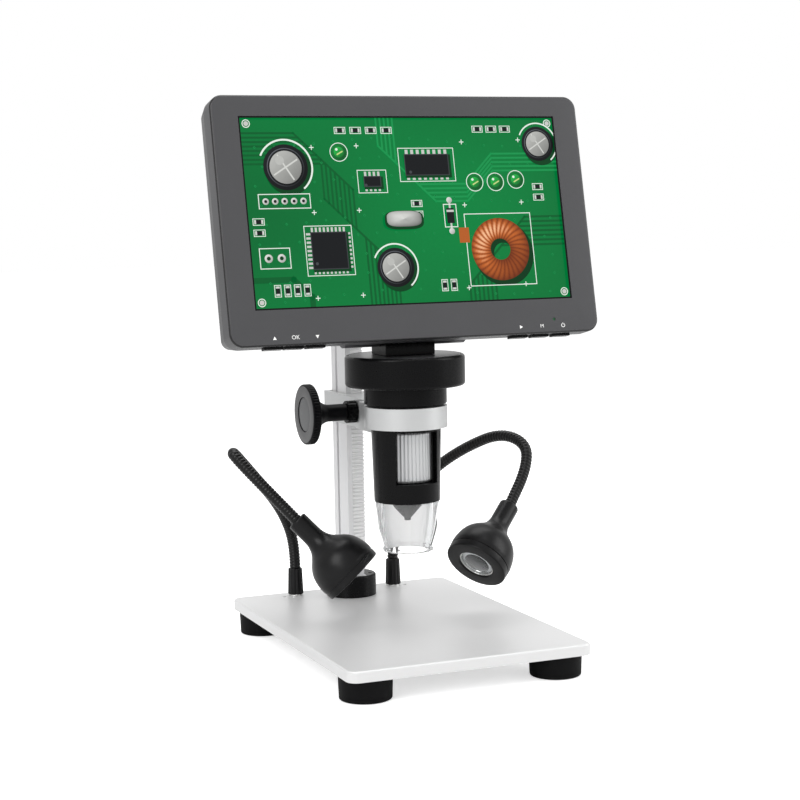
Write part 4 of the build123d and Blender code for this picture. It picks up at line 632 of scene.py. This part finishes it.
def facets(a, h):
    """Factor that flattens a circle into facets below the hood's shoulder."""
    share = np.clip((ROUND_ABOVE - h) / (ROUND_ABOVE - FLAT_BELOW), 0, 1)
    step = TURN / HOOD_FACETS
    polygon = math.cos(step / 2) / np.cos((a % step) - step / 2)
    return 1 - share * (1 - polygon)


outer = rounded(((13.35, 77.1), (13.35, 74.2), (14.9, 74.15), (14.8, 72.4), (13.7, 60.7), (11.2, 52.4),
                 (11.9, 52.0), (11.9, 50.8)), (0, 0.1, 0.4, 0.2, 1.4, 0.3, 0.2, 0.0))
inner = rounded(((9.3, 50.8), (9.5, 52.5), (11.2, 60.7), (11.5, 72.4), (11.6, 75.0), (11.6, 77.1)),
                (0.2, 0.8, 2.0, 0.8, 0.4, 0))
turned("faceted_hood", np.vstack([outer, inner]), HEAD, HOOD_CLEAR, "head", ("clear_hood",),
       144, 12, facets, closed=True)
print("hood", round(outer[:, 0].max() * 2, 1), "mm across,", HOOD_FACETS, "facets")

# %% [markdown]
# ## Nose and painted shade in the window
#
# Under the barrel the lens carrier ends in a small cone, which the skirt surrounds. Inside the window
# two dark strips stand between the wheel and the wall at the window's sides: a painted shade, where the
# window's edges shade the wheel. Both are turned shapes, a whole one and one swept through part of a turn.

# %% Nose and front lens
nose = rounded(((0, 74.9), (7.3, 74.9), (7.3, 72.4), (7.0, 72.0), (2.1, 66.5), (1.6, 66.0), (1.5, 64.9),
                (1.0, 64.9), (1.0, 65.5), (0, 65.5)), (0, 0.1, 0.1, 0.3, 0.3, 0.2, 0.15, 0.1, 0, 0), 4)
turned("lens_nose", nose, HEAD, NOSE_ABS, "lens", ("lens_carrier",), 72)
lens = rounded(((0, 65.3), (0.7, 65.35), (0.97, 65.6), (0.97, 66.1), (0, 66.1)), (0, 0.3, 0.05, 0, 0), 4)
turned("nose_lens", lens, HEAD, GLASS, "lens", ("front_lens",), 36)

# %% Dark strips of painted shade in the window
SHADE_STRIP_R, SHADE_STRIP_Z = (12.45, 13.1), (83.3, 107.1)


def joined(*surfaces):
    """Several (points, quads) as one."""
    shifts = np.cumsum([0] + [len(points) for points, _ in surfaces[:-1]])
    return (np.vstack([points for points, _ in surfaces]),
            np.vstack([quads + shift for (_, quads), shift in zip(surfaces, shifts)]))


def strip(start, end, steps=14):
    """Curved bar between two angles from the front: four corner lines swept from start to end."""
    a = np.radians(np.linspace(start, end, steps))[:, None] - TURN / 4
    r = np.array(SHADE_STRIP_R)[None, [0, 1, 1, 0]]
    z = np.array(SHADE_STRIP_Z)[None, [0, 0, 1, 1]] + 0 * a
    rings = np.stack([r * np.cos(a), r * np.sin(a) + HEAD_Y, z], -1)
    ends = [np.repeat(ring.mean(0)[None, None], 4, 1) for ring in (rings[0], rings[-1])]
    points = np.vstack([ends[0], rings, ends[1]])
    return points.reshape(-1, 3), grid_quads(len(points), 4)


# Two black strips at the window's sides, painted shade on the wheel.
points, quads = joined(strip(-62, -43.5), strip(46, 66))
piece("window_painted_shade_strips", points, quads, BLACK_ABS, "head", ())

# %% [markdown]
# ## Focus wheel
#
# The wheel behind the barrel's window is turned by a fingertip, so its rim is a ring of soft convex
# ribs under silver paint. A circle of teeth could be extruded, but one surface whose radius falls
# between the ribs as 1 - |cos(n a / 2)| keeps each rib round and each valley sharp.

# %% Focus wheel
WHEEL_RIBS, WHEEL_R, RIB_FALL = 38, 12.0, 0.6
WHEEL_Z = (83.45, 106.95)


def wheel_ribs(a, h):
    """Radius factor that dips by RIB_FALL between the ribs."""
    return 1 - RIB_FALL / WHEEL_R * (1 - np.abs(np.cos(WHEEL_RIBS * a / 2))) + 0 * h


low, high = WHEEL_Z
rim = rounded(((0, low), (WHEEL_R - 0.7, low), (WHEEL_R, low + 0.9), (WHEEL_R, high - 0.9),
               (WHEEL_R - 0.7, high), (0, high)), (0, 0.2, 0.4, 0.4, 0.2, 0), 5)
turned("ribbed_focus_wheel", rim, HEAD, SILVER_PAINT, "wheel", ("focus_wheel",),
       WHEEL_RIBS * 10, 50, wheel_ribs)
print("wheel rib pitch", round(TURN * WHEEL_R / WHEEL_RIBS, 2), "mm")

# %% [markdown]
# ## Focus knob
#
# The knob is a turned wheel with fine flutes on its rim, a hollow cone behind it and a long hub. Its
# face carries a spun grey ring round a slightly domed cap. All of them are profiles turned about the
# shaft.

# %% Knob
SHAFT = axes((0.0, 34.01, 111.9), (1, 0, 0), (0, 0, 1))
FACE_X, KNOB_R, KNOB_FLUTES, KNOB_FLUTE_DEPTH = -34.4, 14.5, 60, 0.3
TREAD_MIDDLE, TREAD_HALF, TREAD_FADE = FACE_X + 2.0, 1.6, 0.4


def grip(a, h):
    """Radius factor that cuts flutes into the rim only, between the rounded edges of its tread."""
    on_rim = np.clip(TREAD_HALF - np.abs(h - TREAD_MIDDLE), 0, TREAD_FADE) / TREAD_FADE
    return 1 - KNOB_FLUTE_DEPTH / KNOB_R * on_rim * (0.5 + 0.5 * np.cos(KNOB_FLUTES * a))


wheel = rounded(((0, -33.4), (8.2, -33.4), (8.2, FACE_X), (KNOB_R, FACE_X), (KNOB_R, -30.4), (11.5, -30.4),
                 (7.0, -28.0), (4.8, -25.0), (4.1, -23.0), (4.1, -13.25), (1.6, -13.25), (1.6, -31.5),
                 (0, -31.5)), (0, 0, 0.15, 0.8, 0.8, 0.6, 1.6, 1.6, 1.2, 0.2, 0, 0, 0))
halfway = (wheel[:-1] + wheel[1:]) / 2
wheel = np.vstack([np.stack([wheel[:-1], halfway], 1).reshape(-1, 2), wheel[-1:]])
turned("fluted_focus_knob", wheel, SHAFT, KNOB_BLACK, "knob", ("focus_knob",),
       KNOB_FLUTES * 6, 40, grip)
ring = rounded(((8.45, -34.48), (13.6, -34.48), (13.6, -34.2), (8.45, -34.2)), (0.1, 0.12, 0, 0), 4, True)
turned("knob_face_ring", ring, SHAFT, KNOB_FACE, "knob", (), 128, closed=True)
cap = rounded(((0, -34.45), (6.0, -34.36), (8.1, -34.1), (8.1, -33.25), (0, -33.25)), (0, 2.0, 0.3, 0, 0))
turned("domed_knob_cap", cap, SHAFT, KNOB_GREY, "knob", ("knob_cap",))
print("knob flute pitch", round(TURN * KNOB_R / KNOB_FLUTES, 2), "mm")

# %% [markdown]
# ## Lamp ferrules
#
# Each gooseneck stands in a tapered sleeve with shallow flutes for gripping it, on a bright washer.
# The sleeve is a profile turned about the upright, with the flutes worked into its radius.

# %% Ferrules
FLUTES, FLUTE_DEPTH, SLEEVE_R = 12, 0.3, 4.0
FERRULE_X, FERRULE_Y, FERRULE_BASE = (-26.6, 26.6), 75.75, 15.55


def flutes(a, h):
    """Radius factor with FLUTES hollows; the sleeve's rounded foot and mouth keep them too."""
    return 1 - FLUTE_DEPTH / SLEEVE_R * (0.5 - 0.5 * np.cos(FLUTES * a)) ** 1.5 + 0 * h


sleeve = rounded(((2.95, 17.6), (2.95, 29.4), (3.5, 29.4), (3.98, 16.4), (3.3, 16.3), (3.0, 16.3)),
                 (0, 0.1, 0.45, 0.5, 0.1, 0), 5, closed=True)
washer = rounded(((3.0, 0), (3.75, 0), (3.75, 0.8), (3.0, 0.8)), 0.12, 4, closed=True) + (0, FERRULE_BASE)
stud = ((1.8, 8.0), (3.0, 8.0), (3.0, 16.9), (1.8, 16.9))
uprights = [axes((x, FERRULE_Y, 0), (0, 0, 1)) for x in FERRULE_X]
points, quads = joined(*(revolved(sleeve, upright, 96, flutes, closed=True) for upright in uprights))
piece("fluted_lamp_sleeves", points, quads, LAMP_BLACK, "stand", ("lamp_ferrules",), 45)
points, quads = joined(*(revolved(ring, upright, 72, closed=True) for upright in uprights
                         for ring in (washer, stud)))
piece("lamp_washers_and_studs", points, quads, NICKEL, "stand", ())

# %% [markdown]
# ## Softened edges
#
# No machined or moulded edge is truly sharp: aluminium is deburred and a mould's corners are milled
# with a small radius, and that radius is what draws a thin light line along each edge. Copies of these
# nodes get a Bevel modifier of the real radius, in millimetres.

# %% Rounding a copy's edges
# Metres within which a copy's loose triangles join, and degrees beyond which its edges are shaded sharp.
CAD_WELD, CAD_SHARP = 2e-6, 30


def final_mesh(made):
    """A new mesh of an object as its modifiers, or its letters, leave it."""
    bpy.context.view_layer.update()
    return bpy.data.meshes.new_from_object(made.evaluated_get(bpy.context.evaluated_depsgraph_get()))


def applied(made):
    """The object's final mesh, given to it in place of the old mesh and its modifiers."""
    final = final_mesh(made)
    made.modifiers.clear()
    made.data = final
    return final


def softened(node_name, width, material, body):
    """Copy of a CAD node with its sharp edges rounded: its loose triangles are merged into flat faces
    first, then a Bevel modifier rounds each edge sharper than 40 degrees. Normals weighted by area keep
    the large faces flat next to their rounded edges."""
    mesh = frame["nodes"][node_name].data.copy()
    mesh.name = node_name + "_soft"
    rework(mesh, CAD_WELD, lambda work: bmesh.ops.dissolve_limit(
        work, angle_limit=math.radians(0.5), verts=work.verts, edges=work.edges))
    made = placed(mesh.name, mesh)
    bevel = made.modifiers.new("soft_edges", "BEVEL")
    bevel.width, bevel.segments, bevel.limit_method = width * MM, 3, "ANGLE"
    bevel.angle_limit, bevel.use_clamp_overlap = math.radians(40), True
    smooth(applied(made), CAD_SHARP)
    weighted = made.modifiers.new("flat_faces", "WEIGHTED_NORMAL")
    weighted.mode, weighted.weight, weighted.keep_sharp = "FACE_AREA", 80, True
    final = applied(made)
    final.materials.clear()
    final.materials.append(material)
    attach(made, body)
    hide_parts(node_name)
    return made


# %% Softened nodes
BODY_OF = {node: body for body, nodes in frame["record"]["behaviour"]["bodies"].items() for node in nodes}
SOFT_EDGES = {
    "base_plate": (0.5, PLATE_OXIDE), "rubber_feet": (0.7, RUBBER), "column_collar": (0.4, BLACK_ABS),
    "bracket": (0.6, ANODISED), "gear_lid": (0.3, BLACK_ABS), "disc_housing": (0.6, BLACK_ABS),
    "disc_lid": (0.25, LID_ABS_PAINTED_SHEEN), "head_collar": (0.35, BLACK_ABS), "monitor_neck": (0.6, BLACK_ABS),
    "barrel_shell": (0.35, BLACK_ABS), "rear_cover": (0.5, GREY_ABS), "tension_ring": (0.2, BLACK_ABS),
}
for node, (width, material) in SOFT_EDGES.items():
    made = softened(node, width, material, BODY_OF[node])
    print(made.name, len(made.data.polygons), "faces, edge radius", width, "mm")

# %% [markdown]
# ## Painted dark reflection on the frame's edge
#
# The frame's front edge is rounded and polished. On a real one it mirrors the dark bench in front of
# it and reads as a dark line between the etched face and the sides. Here that reflection is painted: a
# copy of the frame gets a second, darker finish on the faces that turn between face and side.

# %% Frame with a painted dark reflection on its edge
TILT = math.radians(11.85)
OUTWARD = np.array([0, -math.cos(TILT), math.sin(TILT)])
# A face belongs to the edge when the cosine between its normal and OUTWARD lies between these.
EDGE_TURN = (0.15, 0.93)
mesh = frame["nodes"]["front_bezel"].data.copy()
mesh.name = "bezel_with_painted_edge_reflection"
rework(mesh, CAD_WELD)
smooth(mesh, CAD_SHARP)
mesh.materials.clear()
# The second colour, on the rounded edge, is a painted reflection of the dark bench in front.
for material in (GREY_ABS, EDGE_PAINTED_REFLECTION):
    mesh.materials.append(material)
for polygon in mesh.polygons:
    polygon.material_index = int(EDGE_TURN[0] < np.dot(polygon.normal, OUTWARD) < EDGE_TURN[1])
bezel = placed(mesh.name, mesh)
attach(bezel, "monitor")
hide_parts("front_bezel")
print("faces on the dark edge", sum(polygon.material_index for polygon in mesh.polygons))

# %% [markdown]
# ## The lit display
#
# A display shows a flat picture in bright, even colours, and what a bench microscope shows is a
# circuit board seen from close by. The picture here is an invented board. It could be one image
# texture, but patches of coloured mesh stay sharp at any size and can be read as a drawing: each
# patch lies a hundredth of a millimetre in front of the last one, and its colours are kept in an
# attribute of its points, which the display's material sends out as light.

# %% Screen frame
SCREEN_AT = np.array([0, -18.13, 208.18])
ACROSS, UPWARD = np.array([1.0, 0, 0]), np.array([0, math.sin(TILT), math.cos(TILT)])


def on_screen(u, v, w):
    """Points in the object's frame from across, up and outward distances in millimetres."""
    u, v, w = (np.asarray(k, float)[..., None] for k in (u, v, w))
    return SCREEN_AT + u * ACROSS + v * UPWARD + w * OUTWARD


# %% Painted patches
# Patches lie this far apart in millimetres, and the light drawn in the picture comes from the upper left.
LAYER, LIT_FROM = 0.010, TURN * 3 / 8
painted = []


def paint(u, v, colour, close=False):
    """Adds one patch: grids of u and v with a colour for each point or one for all, a layer in front."""
    u, v = np.broadcast_arrays(np.asarray(u, float), np.asarray(v, float))
    colours = np.broadcast_to(colour, u.shape + (3,)).reshape(-1, 3)
    flat = np.stack([u, v, np.full(u.shape, LAYER * (len(painted) + 1))], -1).reshape(-1, 3)
    painted.append((flat, grid_quads(u.shape[0], u.shape[1], False, close), np.clip(colours, 0, 1)))


def paint_bars(centres, sizes, colour, angle=0.0):
    """One patch of many bars: corners are the centre plus half the sizes, turned by the angle."""
    centres, sizes = np.atleast_2d(np.asarray(centres, float)), np.atleast_2d(np.asarray(sizes, float))
    sizes = np.broadcast_to(sizes, centres.shape)
    angle = np.broadcast_to(np.asarray(angle, float), len(centres))
    along = np.stack([np.cos(angle), np.sin(angle)], -1) * sizes[:, :1] / 2
    across = np.stack([-np.sin(angle), np.cos(angle)], -1) * sizes[:, 1:] / 2
    corners = np.stack([centres - along - across, centres + along - across,
                        centres + along + across, centres - along + across], 1).reshape(-1, 2)
    flat = np.column_stack([corners, np.full(len(corners), LAYER * (len(painted) + 1))])
    quads = np.arange(len(corners)).reshape(-1, 4)
    painted.append((flat, quads, np.broadcast_to(colour, (len(corners), 3))))


# %% Discs, traces and outlines
def paint_disc(centres, r_in, r_out, colour, start=0.0, sweep=TURN, steps=40, shade=0.0):
    """A patch for each disc, ring or arc; shade brightens the side that the drawn light comes from."""
    for centre in np.atleast_2d(np.asarray(centres, float)):
        a = np.linspace(start, start + sweep, steps)[None, :]
        r = np.array([r_in, (r_in + r_out) / 2, r_out])[:, None]
        lit = 1 + shade * np.cos(a - LIT_FROM) * r / r_out
        paint(centre[0] + r * np.cos(a), centre[1] + r * np.sin(a), np.asarray(colour) * lit[..., None])


def paint_line(points, width, colour):
    """Trace along corners: one bar for each run, long enough to cover its joints."""
    points = np.asarray(points, float)
    run = np.diff(points, axis=0)
    long = np.hypot(*run.T)
    sizes = np.column_stack([long + width, np.full(len(long), width)])
    paint_bars((points[:-1] + points[1:]) / 2, sizes, colour, np.arctan2(run[:, 1], run[:, 0]))


def paint_frame(u, v, wide, high, line, colour):
    """Outline of a rectangle."""
    corners = ((-1, -1), (1, -1), (1, 1), (-1, 1), (-1, -1))
    paint_line([(u + x * wide / 2, v + y * high / 2) for x, y in corners], line, colour)


# %% Colours of the drawn board
MASK, MASK_DEEP, MASK_LIGHT = rgb("#007a3a"), rgb("#005f2c"), rgb("#16944e")
PRINT, TIN = rgb("#e9f2ea"), rgb("#c9cac6")
CASE_BLACK, CASE_EDGE = rgb("#15171a"), rgb("#3a3c40")
COPPER, COPPER_DEEP, COPPER_LIGHT = rgb("#c8682c"), rgb("#5f2410"), rgb("#ffc79a")
PICTURE, PICTURE_SUNK = (154.9, 86.6), 0.02

# %% Board, traces and holes
across, up = np.meshgrid(np.linspace(-PICTURE[0] / 2, PICTURE[0] / 2, 40),
                         np.linspace(-PICTURE[1] / 2, PICTURE[1] / 2, 24))
glow = 1 + 0.16 * np.sin(across / 31 + 0.6) * np.cos(up / 23) - 0.10 * (across / 77) ** 2
paint(across, up, MASK * glow[..., None])
# Copper under the mask shows as slightly darker or paler bands with 45 degree corners.
for s in 2.0 * np.arange(8):
    paint_line(((-77, 36 - s), (-52 + s, 36 - s), (-40 + s, 24 - s), (-40 + s, 6 - s), (-22 + s, -12 - s),
                (-22 + s, -43)), 0.95, MASK_DEEP)
for s in 2.2 * np.arange(7):
    paint_line(((77, -4 - s), (58 - s, -4 - s), (40 - s, -22 - s), (40 - s, -43)), 1.0, MASK_DEEP)
for s in 2.0 * np.arange(5):
    paint_line(((-12 + s, 43), (-12 + s, 30 - s), (6 + s, 12 - s), (30, 12 - s), (44, 26 - s),
                (77, 26 - s)), 0.9, MASK_LIGHT)
paint_line(((-77, -30), (-58, -30), (-50, -38), (-50, -43)), 2.6, MASK_DEEP)
via_u, via_v = np.meshgrid(np.arange(-70, 71, 9.3), np.arange(-38, 39, 8.7))
via = np.column_stack([(via_u + 2.3 * np.sin(via_v * 1.7)).ravel(),
                       (via_v + 2.1 * np.cos(via_u * 1.3)).ravel()])
paint_bars(via, (0.9, 0.9), MASK_LIGHT, math.pi / 4)
paint_bars(via, (0.4, 0.4), MASK_DEEP * 0.5, math.pi / 4)

# %% Capacitor and coil
def drum(u, v, r):
    """Upright capacitor seen from above: painted shadow, printed arc, black sleeve, tin top with a vent
    cross, and a painted highlight toward the upper left.
    """
    paint_disc((u + 1.4, v - 1.6), 0.0, r * 1.06, MASK_DEEP * 0.45)
    paint_disc((u, v), r * 1.16, r * 1.24, PRINT, -0.9, 3.6)
    paint_disc((u, v), 0.0, r, CASE_BLACK, shade=0.5)
    paint_disc((u, v), r * 0.80, r * 0.84, CASE_EDGE * 1.6, shade=0.8)
    paint_disc((u, v), 0.0, r * 0.72, TIN * 0.62, shade=0.35)
    paint_bars(np.repeat([[u, v]], 2, 0), (r * 1.30, r * 0.07), TIN * 1.1, (0.55, 0.55 + TURN / 4))
    # Painted highlight on the tin top.
    paint_disc((u - r * 0.25, v + r * 0.3), 0.0, r * 0.2, TIN * 0.85)


def coil_ring(u, v, r_out, r_in, turns):
    """Wound ring over a painted shadow; its brightness, painted light on the wire, runs along each turn as 1
    - x^2 and across the turns as |sin|^0.6, and is higher toward the drawn light.
    """
    # Painted shadow of the ring, toward the lower right.
    paint_disc((u + 1.5, v - 2.0), r_in, r_out * 1.04, MASK_DEEP * 0.35)
    a = np.linspace(0, TURN, turns * 10 + 1)[None, :]
    x = np.linspace(-1, 1, 9)[:, None]
    r = (r_out + r_in) / 2 + x * (r_out - r_in) / 2
    twist = a + 0.12 * x
    wire = np.abs(np.sin(twist * turns / 2)) ** 0.6 * (1 - 0.75 * x ** 2)
    shine = np.clip(wire * (0.75 + 0.45 * np.cos(a - LIT_FROM)), 0, 1.4)[..., None]
    colour = COPPER_DEEP + (COPPER - COPPER_DEEP) * np.clip(shine * 1.3, 0, 1)
    colour = colour + (COPPER_LIGHT - COPPER) * np.clip(shine - 0.72, 0, 1) * 2.2
    paint(u + r * np.cos(a), v + r * np.sin(a), colour)


# %% Chips, resistors and lamps
def chip(u, v, wide, high, pins, sides=2):
    """Black package with a row of tin legs on two or four sides, a painted shadow toward the lower right, a
    notch dot and a printed outline.
    """
    paint_frame(u, v, wide + 5.4, high + 5.4, 0.35, PRINT)
    at = (np.arange(pins) + 0.5) / pins - 0.5
    for side in (-1, 1):
        legs = np.column_stack([u + at * wide, np.full(pins, v + side * (high / 2 + 0.9))])
        paint_bars(legs, (wide / pins * 0.52, 2.2), TIN)
        if sides == 4:
            legs = np.column_stack([np.full(pins, u + side * (wide / 2 + 0.9)), v + at * high])
            paint_bars(legs, (2.2, high / pins * 0.52), TIN)
    # Painted shadow of the package, toward the lower right.
    paint_bars((u + 0.6, v - 0.7), (wide + 0.8, high + 0.8), MASK_DEEP * 0.4)
    paint_bars((u, v), (wide, high), CASE_EDGE)
    paint_bars((u, v), (wide - 0.9, high - 0.9), CASE_BLACK)
    paint_disc((u - wide * 0.38, v - high * 0.34), 0.0, 0.7, CASE_EDGE * 1.4)


def chip_resistors(places, upright):
    """Small black bodies with tin ends, a painted highlight on each end, and a printed box round each."""
    places = np.asarray(places, float)
    size, end, step = np.array(((4.2, 1.9), (0.9, 1.9), (1.65, 0)))[:, ::-1 if upright else 1]
    for margin, colour in ((1.3, PRINT), (0.7, MASK), (0.0, CASE_BLACK)):
        paint_bars(places, size + margin, colour)
    ends = np.vstack([places - step, places + step])
    paint_bars(ends, end, TIN)
    # Painted highlight on each tin end.
    paint_bars(ends + (0.1, 0.2), end * 0.4, TIN * 1.25)


def green_lamp(u, v, r):
    """Round lamp: printed ring, green dome with a paler centre as painted highlight, and two painted glints.
    """
    paint_disc((u, v), r * 1.08, r * 1.18, PRINT)
    paint_disc((u, v), 0.0, r, rgb("#0d6b2f"), shade=0.4)
    paint_disc((u, v), 0.0, r * 0.66, rgb("#1f9a3f"), shade=0.5)
    paint_bars((u + r * 0.1, v - r * 0.1), (r * 0.9, r * 0.16), rgb("#c8d98a"), 0.5)
    paint_disc((u - r * 0.28, v + r * 0.34), 0.0, r * 0.16, PRINT)


# %% Parts on the board
coil_ring(44.0, -19.0, 14.6, 5.0, 30)
paint_frame(44.0, -19.0, 33.5, 33.5, 0.4, PRINT)
paint_bars((26.4, -12.0), (5.0, 7.0), COPPER * 0.8)
for u, v, r in ((-57.0, 20.5, 10.4), (-9.0, -26.0, 9.0), (68.5, 30.5, 8.2)):
    drum(u, v, r)
chip(-40.0, -17.5, 17.0, 17.0, 9, 4)
chip(11.0, 21.0, 22.0, 10.0, 8)
chip(-16.5, 13.5, 8.5, 5.0, 4)
chip_resistors([(-30.0 + 7.5 * k, 37.0) for k in range(4)] + [(38.0 + 7.0 * k, 37.5) for k in range(3)],
               False)
chip_resistors([(-66.0 + 4.6 * k, -35.0) for k in range(4)] + [(14.0 + 4.6 * k, -35.0) for k in range(2)],
               True)
chip_resistors([(-72.0, -4.0), (-72.0, -9.0), (66.0, 10.0), (66.0, 5.0), (4.0, 3.0), (4.0, -2.0)], False)
for u, v in ((34.0, 12.5), (44.5, 12.5), (55.0, 13.5), (-31.5, 27.0)):
    green_lamp(u, v, 3.7)

# %% Header, can, diode and printed marks
pins = np.column_stack([-68.0 + 4.4 * np.arange(5), np.full(5, 5.0)])
paint_frame(-59.2, 5.0, 24.0, 6.4, 0.4, PRINT)
for at in pins:
    paint_disc(at, 0.0, 1.5, TIN, shade=0.3)
    paint_disc(at, 0.0, 0.7, CASE_BLACK)
paint_frame(-66.0, -20.5, 14.0, 9.0, 0.4, PRINT)
screws = [(-69.0, -20.5), (-63.0, -20.5)]
paint_disc(screws, 0.0, 1.9, TIN, shade=0.3)
paint_disc(screws, 0.0, 0.9, MASK_DEEP * 0.4)
# A crystal can: a painted shadow below it, then a tin top, darker toward its rim and brighter toward the
# upper left in painted light.
turn = np.linspace(0, TURN, 60)[None, :]
ratio = np.array([0.0, 0.5, 0.85, 1.0])[:, None]
can_u = 8.5 * np.sign(np.cos(turn)) * np.abs(np.cos(turn)) ** 0.6
can_v = 3.6 * np.sign(np.sin(turn)) * np.abs(np.sin(turn)) ** 0.6
paint(-3.0 + 1.12 * ratio * can_u, -4.6 + 1.2 * ratio * can_v, MASK_DEEP * 0.4)
paint(-3.0 + ratio * can_u, -4.0 + ratio * can_v,
      TIN * (0.95 - 0.5 * ratio ** 3 + 0.25 * np.cos(turn - 2.2))[..., None])
paint_line(((20.0, 3.5), (20.0, -9.5)), 0.9, TIN)
paint_bars((20.0, -3.0), (3.6, 7.0), CASE_BLACK)
paint_bars((20.0, -0.8), (3.6, 1.0), TIN)
paint_frame(20.0, -3.0, 6.2, 10.5, 0.4, PRINT)
paint_disc([(20.0, 4.2), (20.0, -10.2)], 0.0, 1.4, TIN, shade=0.3)
mark_u, mark_v = np.meshgrid((-46.0, -24.5, 27.5, 56.5), (30.5, 1.0, -37.5))
marks = np.column_stack([mark_u.ravel() + mark_v.ravel() * 0.05, mark_v.ravel() + mark_u.ravel() * 0.03])
paint_bars(marks, (2.2, 0.4), PRINT)
paint_bars(marks, (0.4, 2.2), PRINT)
corner_holes = np.array(((-74.0, 40.0), (74.0, 40.0), (74.0, -40.0), (-74.0, -40.0)))
paint_disc(corner_holes, 1.5, 1.9, PRINT)
paint_disc(corner_holes, 0.0, 1.1, TIN)

# The panel's black mask shows as a thin dark line round the picture.
paint_frame(0, 0, PICTURE[0] - 0.6, PICTURE[1] - 0.6, 0.8, CASE_BLACK * 0.3)

# %% One mesh and its light
flat, quads = joined(*((flat, quads) for flat, quads, _ in painted))
colours = np.vstack([colours for _, _, colours in painted])

material, tree = new_material("lit_display_picture")
painted_colour = add_node(tree, "Attribute", attribute_name="paint")
fine = add_node(tree, "TexNoise", {"Vector": add_node(tree, "TexCoord").outputs["Object"], "Scale": 900.0})
level = add_node(tree, "MapRange", {"Value": fine, "To Min": 0.94, "To Max": 1.06})
lit = add_node(tree, "VectorMath", {0: painted_colour, 1: level}, operation="MULTIPLY")
shader = add_node(tree, "BsdfPrincipled",
                  {"Base Color": (0, 0, 0, 1), "Roughness": 0.25, "Specular IOR Level": 0.15,
                   "Emission Color": lit, "Emission Strength": 1.0})
add_node(tree, "OutputMaterial", {"Surface": shader})
picture = piece("display_picture", on_screen(flat[:, 0], flat[:, 1], flat[:, 2] - PICTURE_SUNK), quads,
                material, "monitor", weld=False)
paint_layer = picture.data.color_attributes.new("paint", "FLOAT_COLOR", "POINT")
paint_layer.data.foreach_set("color", np.column_stack([colours, np.ones(len(colours))]).ravel())


def turned_outward(work):
    """Turns round the faces of a flat mesh that look into the monitor."""
    bmesh.ops.reverse_faces(work, faces=[f for f in work.faces if f.normal.dot(Vector(OUTWARD)) < 0])


rework(picture.data, 0, turned_outward)
print("picture layers", len(painted), "faces", len(picture.data.polygons))

# %% [markdown]
# ## Printed signs on the frame
#
# The keys' meanings are pad-printed in white: two arrows and OK on the left, and a play mark, M and a
# power sign on the right. They are flat shapes laid on the frame's face.

# %% Sign shapes
BEZEL_FACE, SIGN_LIFT, SIGN_V = 1.75, 0.02, -55.9
WHITE_PRINT = finish("white_pad_print", "#f2f2f0", 0.5, 0.3, 0.002)
signs = []


def add_sign(u, corners, faces):
    """A flat sign: corners across from u and up from the signs' line, and their faces."""
    signs.append((on_screen(u + corners[:, 0], SIGN_V + corners[:, 1], BEZEL_FACE + SIGN_LIFT), faces))


def sign_arrow(u, corners):
    """A triangle of three faces round its middle."""
    corners = np.asarray(corners, float)
    add_sign(u, np.vstack([corners, corners.mean(0)]), [(0, 1, 3), (1, 2, 3), (2, 0, 3)])


def sign_text(text, u, size):
    """Letters as a flat mesh, centred."""
    curve = bpy.data.curves.new("sign_" + text, "FONT")
    curve.body, curve.size, curve.align_x, curve.align_y = text, size, "CENTER", "CENTER"
    curve.resolution_u = 3
    holder = placed("sign_" + text, curve)
    mesh = final_mesh(holder)
    bpy.data.objects.remove(holder)
    co = np.empty(len(mesh.vertices) * 3)
    mesh.vertices.foreach_get("co", co)
    add_sign(u, co.reshape(-1, 3), [tuple(p.vertices) for p in mesh.polygons])
    bpy.data.meshes.remove(mesh)


# %% Signs in their places
POWER_U, POWER_R, POWER_GAP = 71.3, np.array((1.0, 0.72)), 0.7
sign_arrow(-69.8, ((-0.85, -0.65), (0.85, -0.65), (0.0, 0.85)))
sign_text("OK", -60.1, 2.6)
sign_arrow(-50.0, ((-0.85, 0.65), (0.0, -0.85), (0.85, 0.65)))
sign_arrow(49.6, ((-0.6, -0.85), (0.95, 0.0), (-0.6, 0.85)))
sign_text("M", 60.4, 2.4)
ring_a = np.linspace(POWER_GAP, TURN - POWER_GAP, 28) + TURN / 4
ring = POWER_R[:, None, None] * np.stack([np.cos(ring_a), np.sin(ring_a)], -1)
add_sign(POWER_U, ring.reshape(-1, 2), grid_quads(2, len(ring_a), close_columns=False).tolist())
add_sign(POWER_U, np.array(((-0.14, 0.2), (0.14, 0.2), (0.14, 1.2), (-0.14, 1.2))), [(0, 1, 2, 3)])
starts = np.cumsum([0] + [len(points) for points, _ in signs[:-1]])
sign_faces = [tuple(int(i + start) for i in face)
              for (_, faces), start in zip(signs, starts) for face in faces]
sign_mesh = bpy.data.meshes.new("printed_signs")
sign_mesh.from_pydata((np.vstack([points for points, _ in signs]) * MM).tolist(), [], sign_faces)
rework(sign_mesh, WELD, turned_outward)
sign_mesh.materials.append(WHITE_PRINT)
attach(placed("printed_signs", sign_mesh), "monitor")
print("signs", len(signs), "faces", len(sign_mesh.polygons))
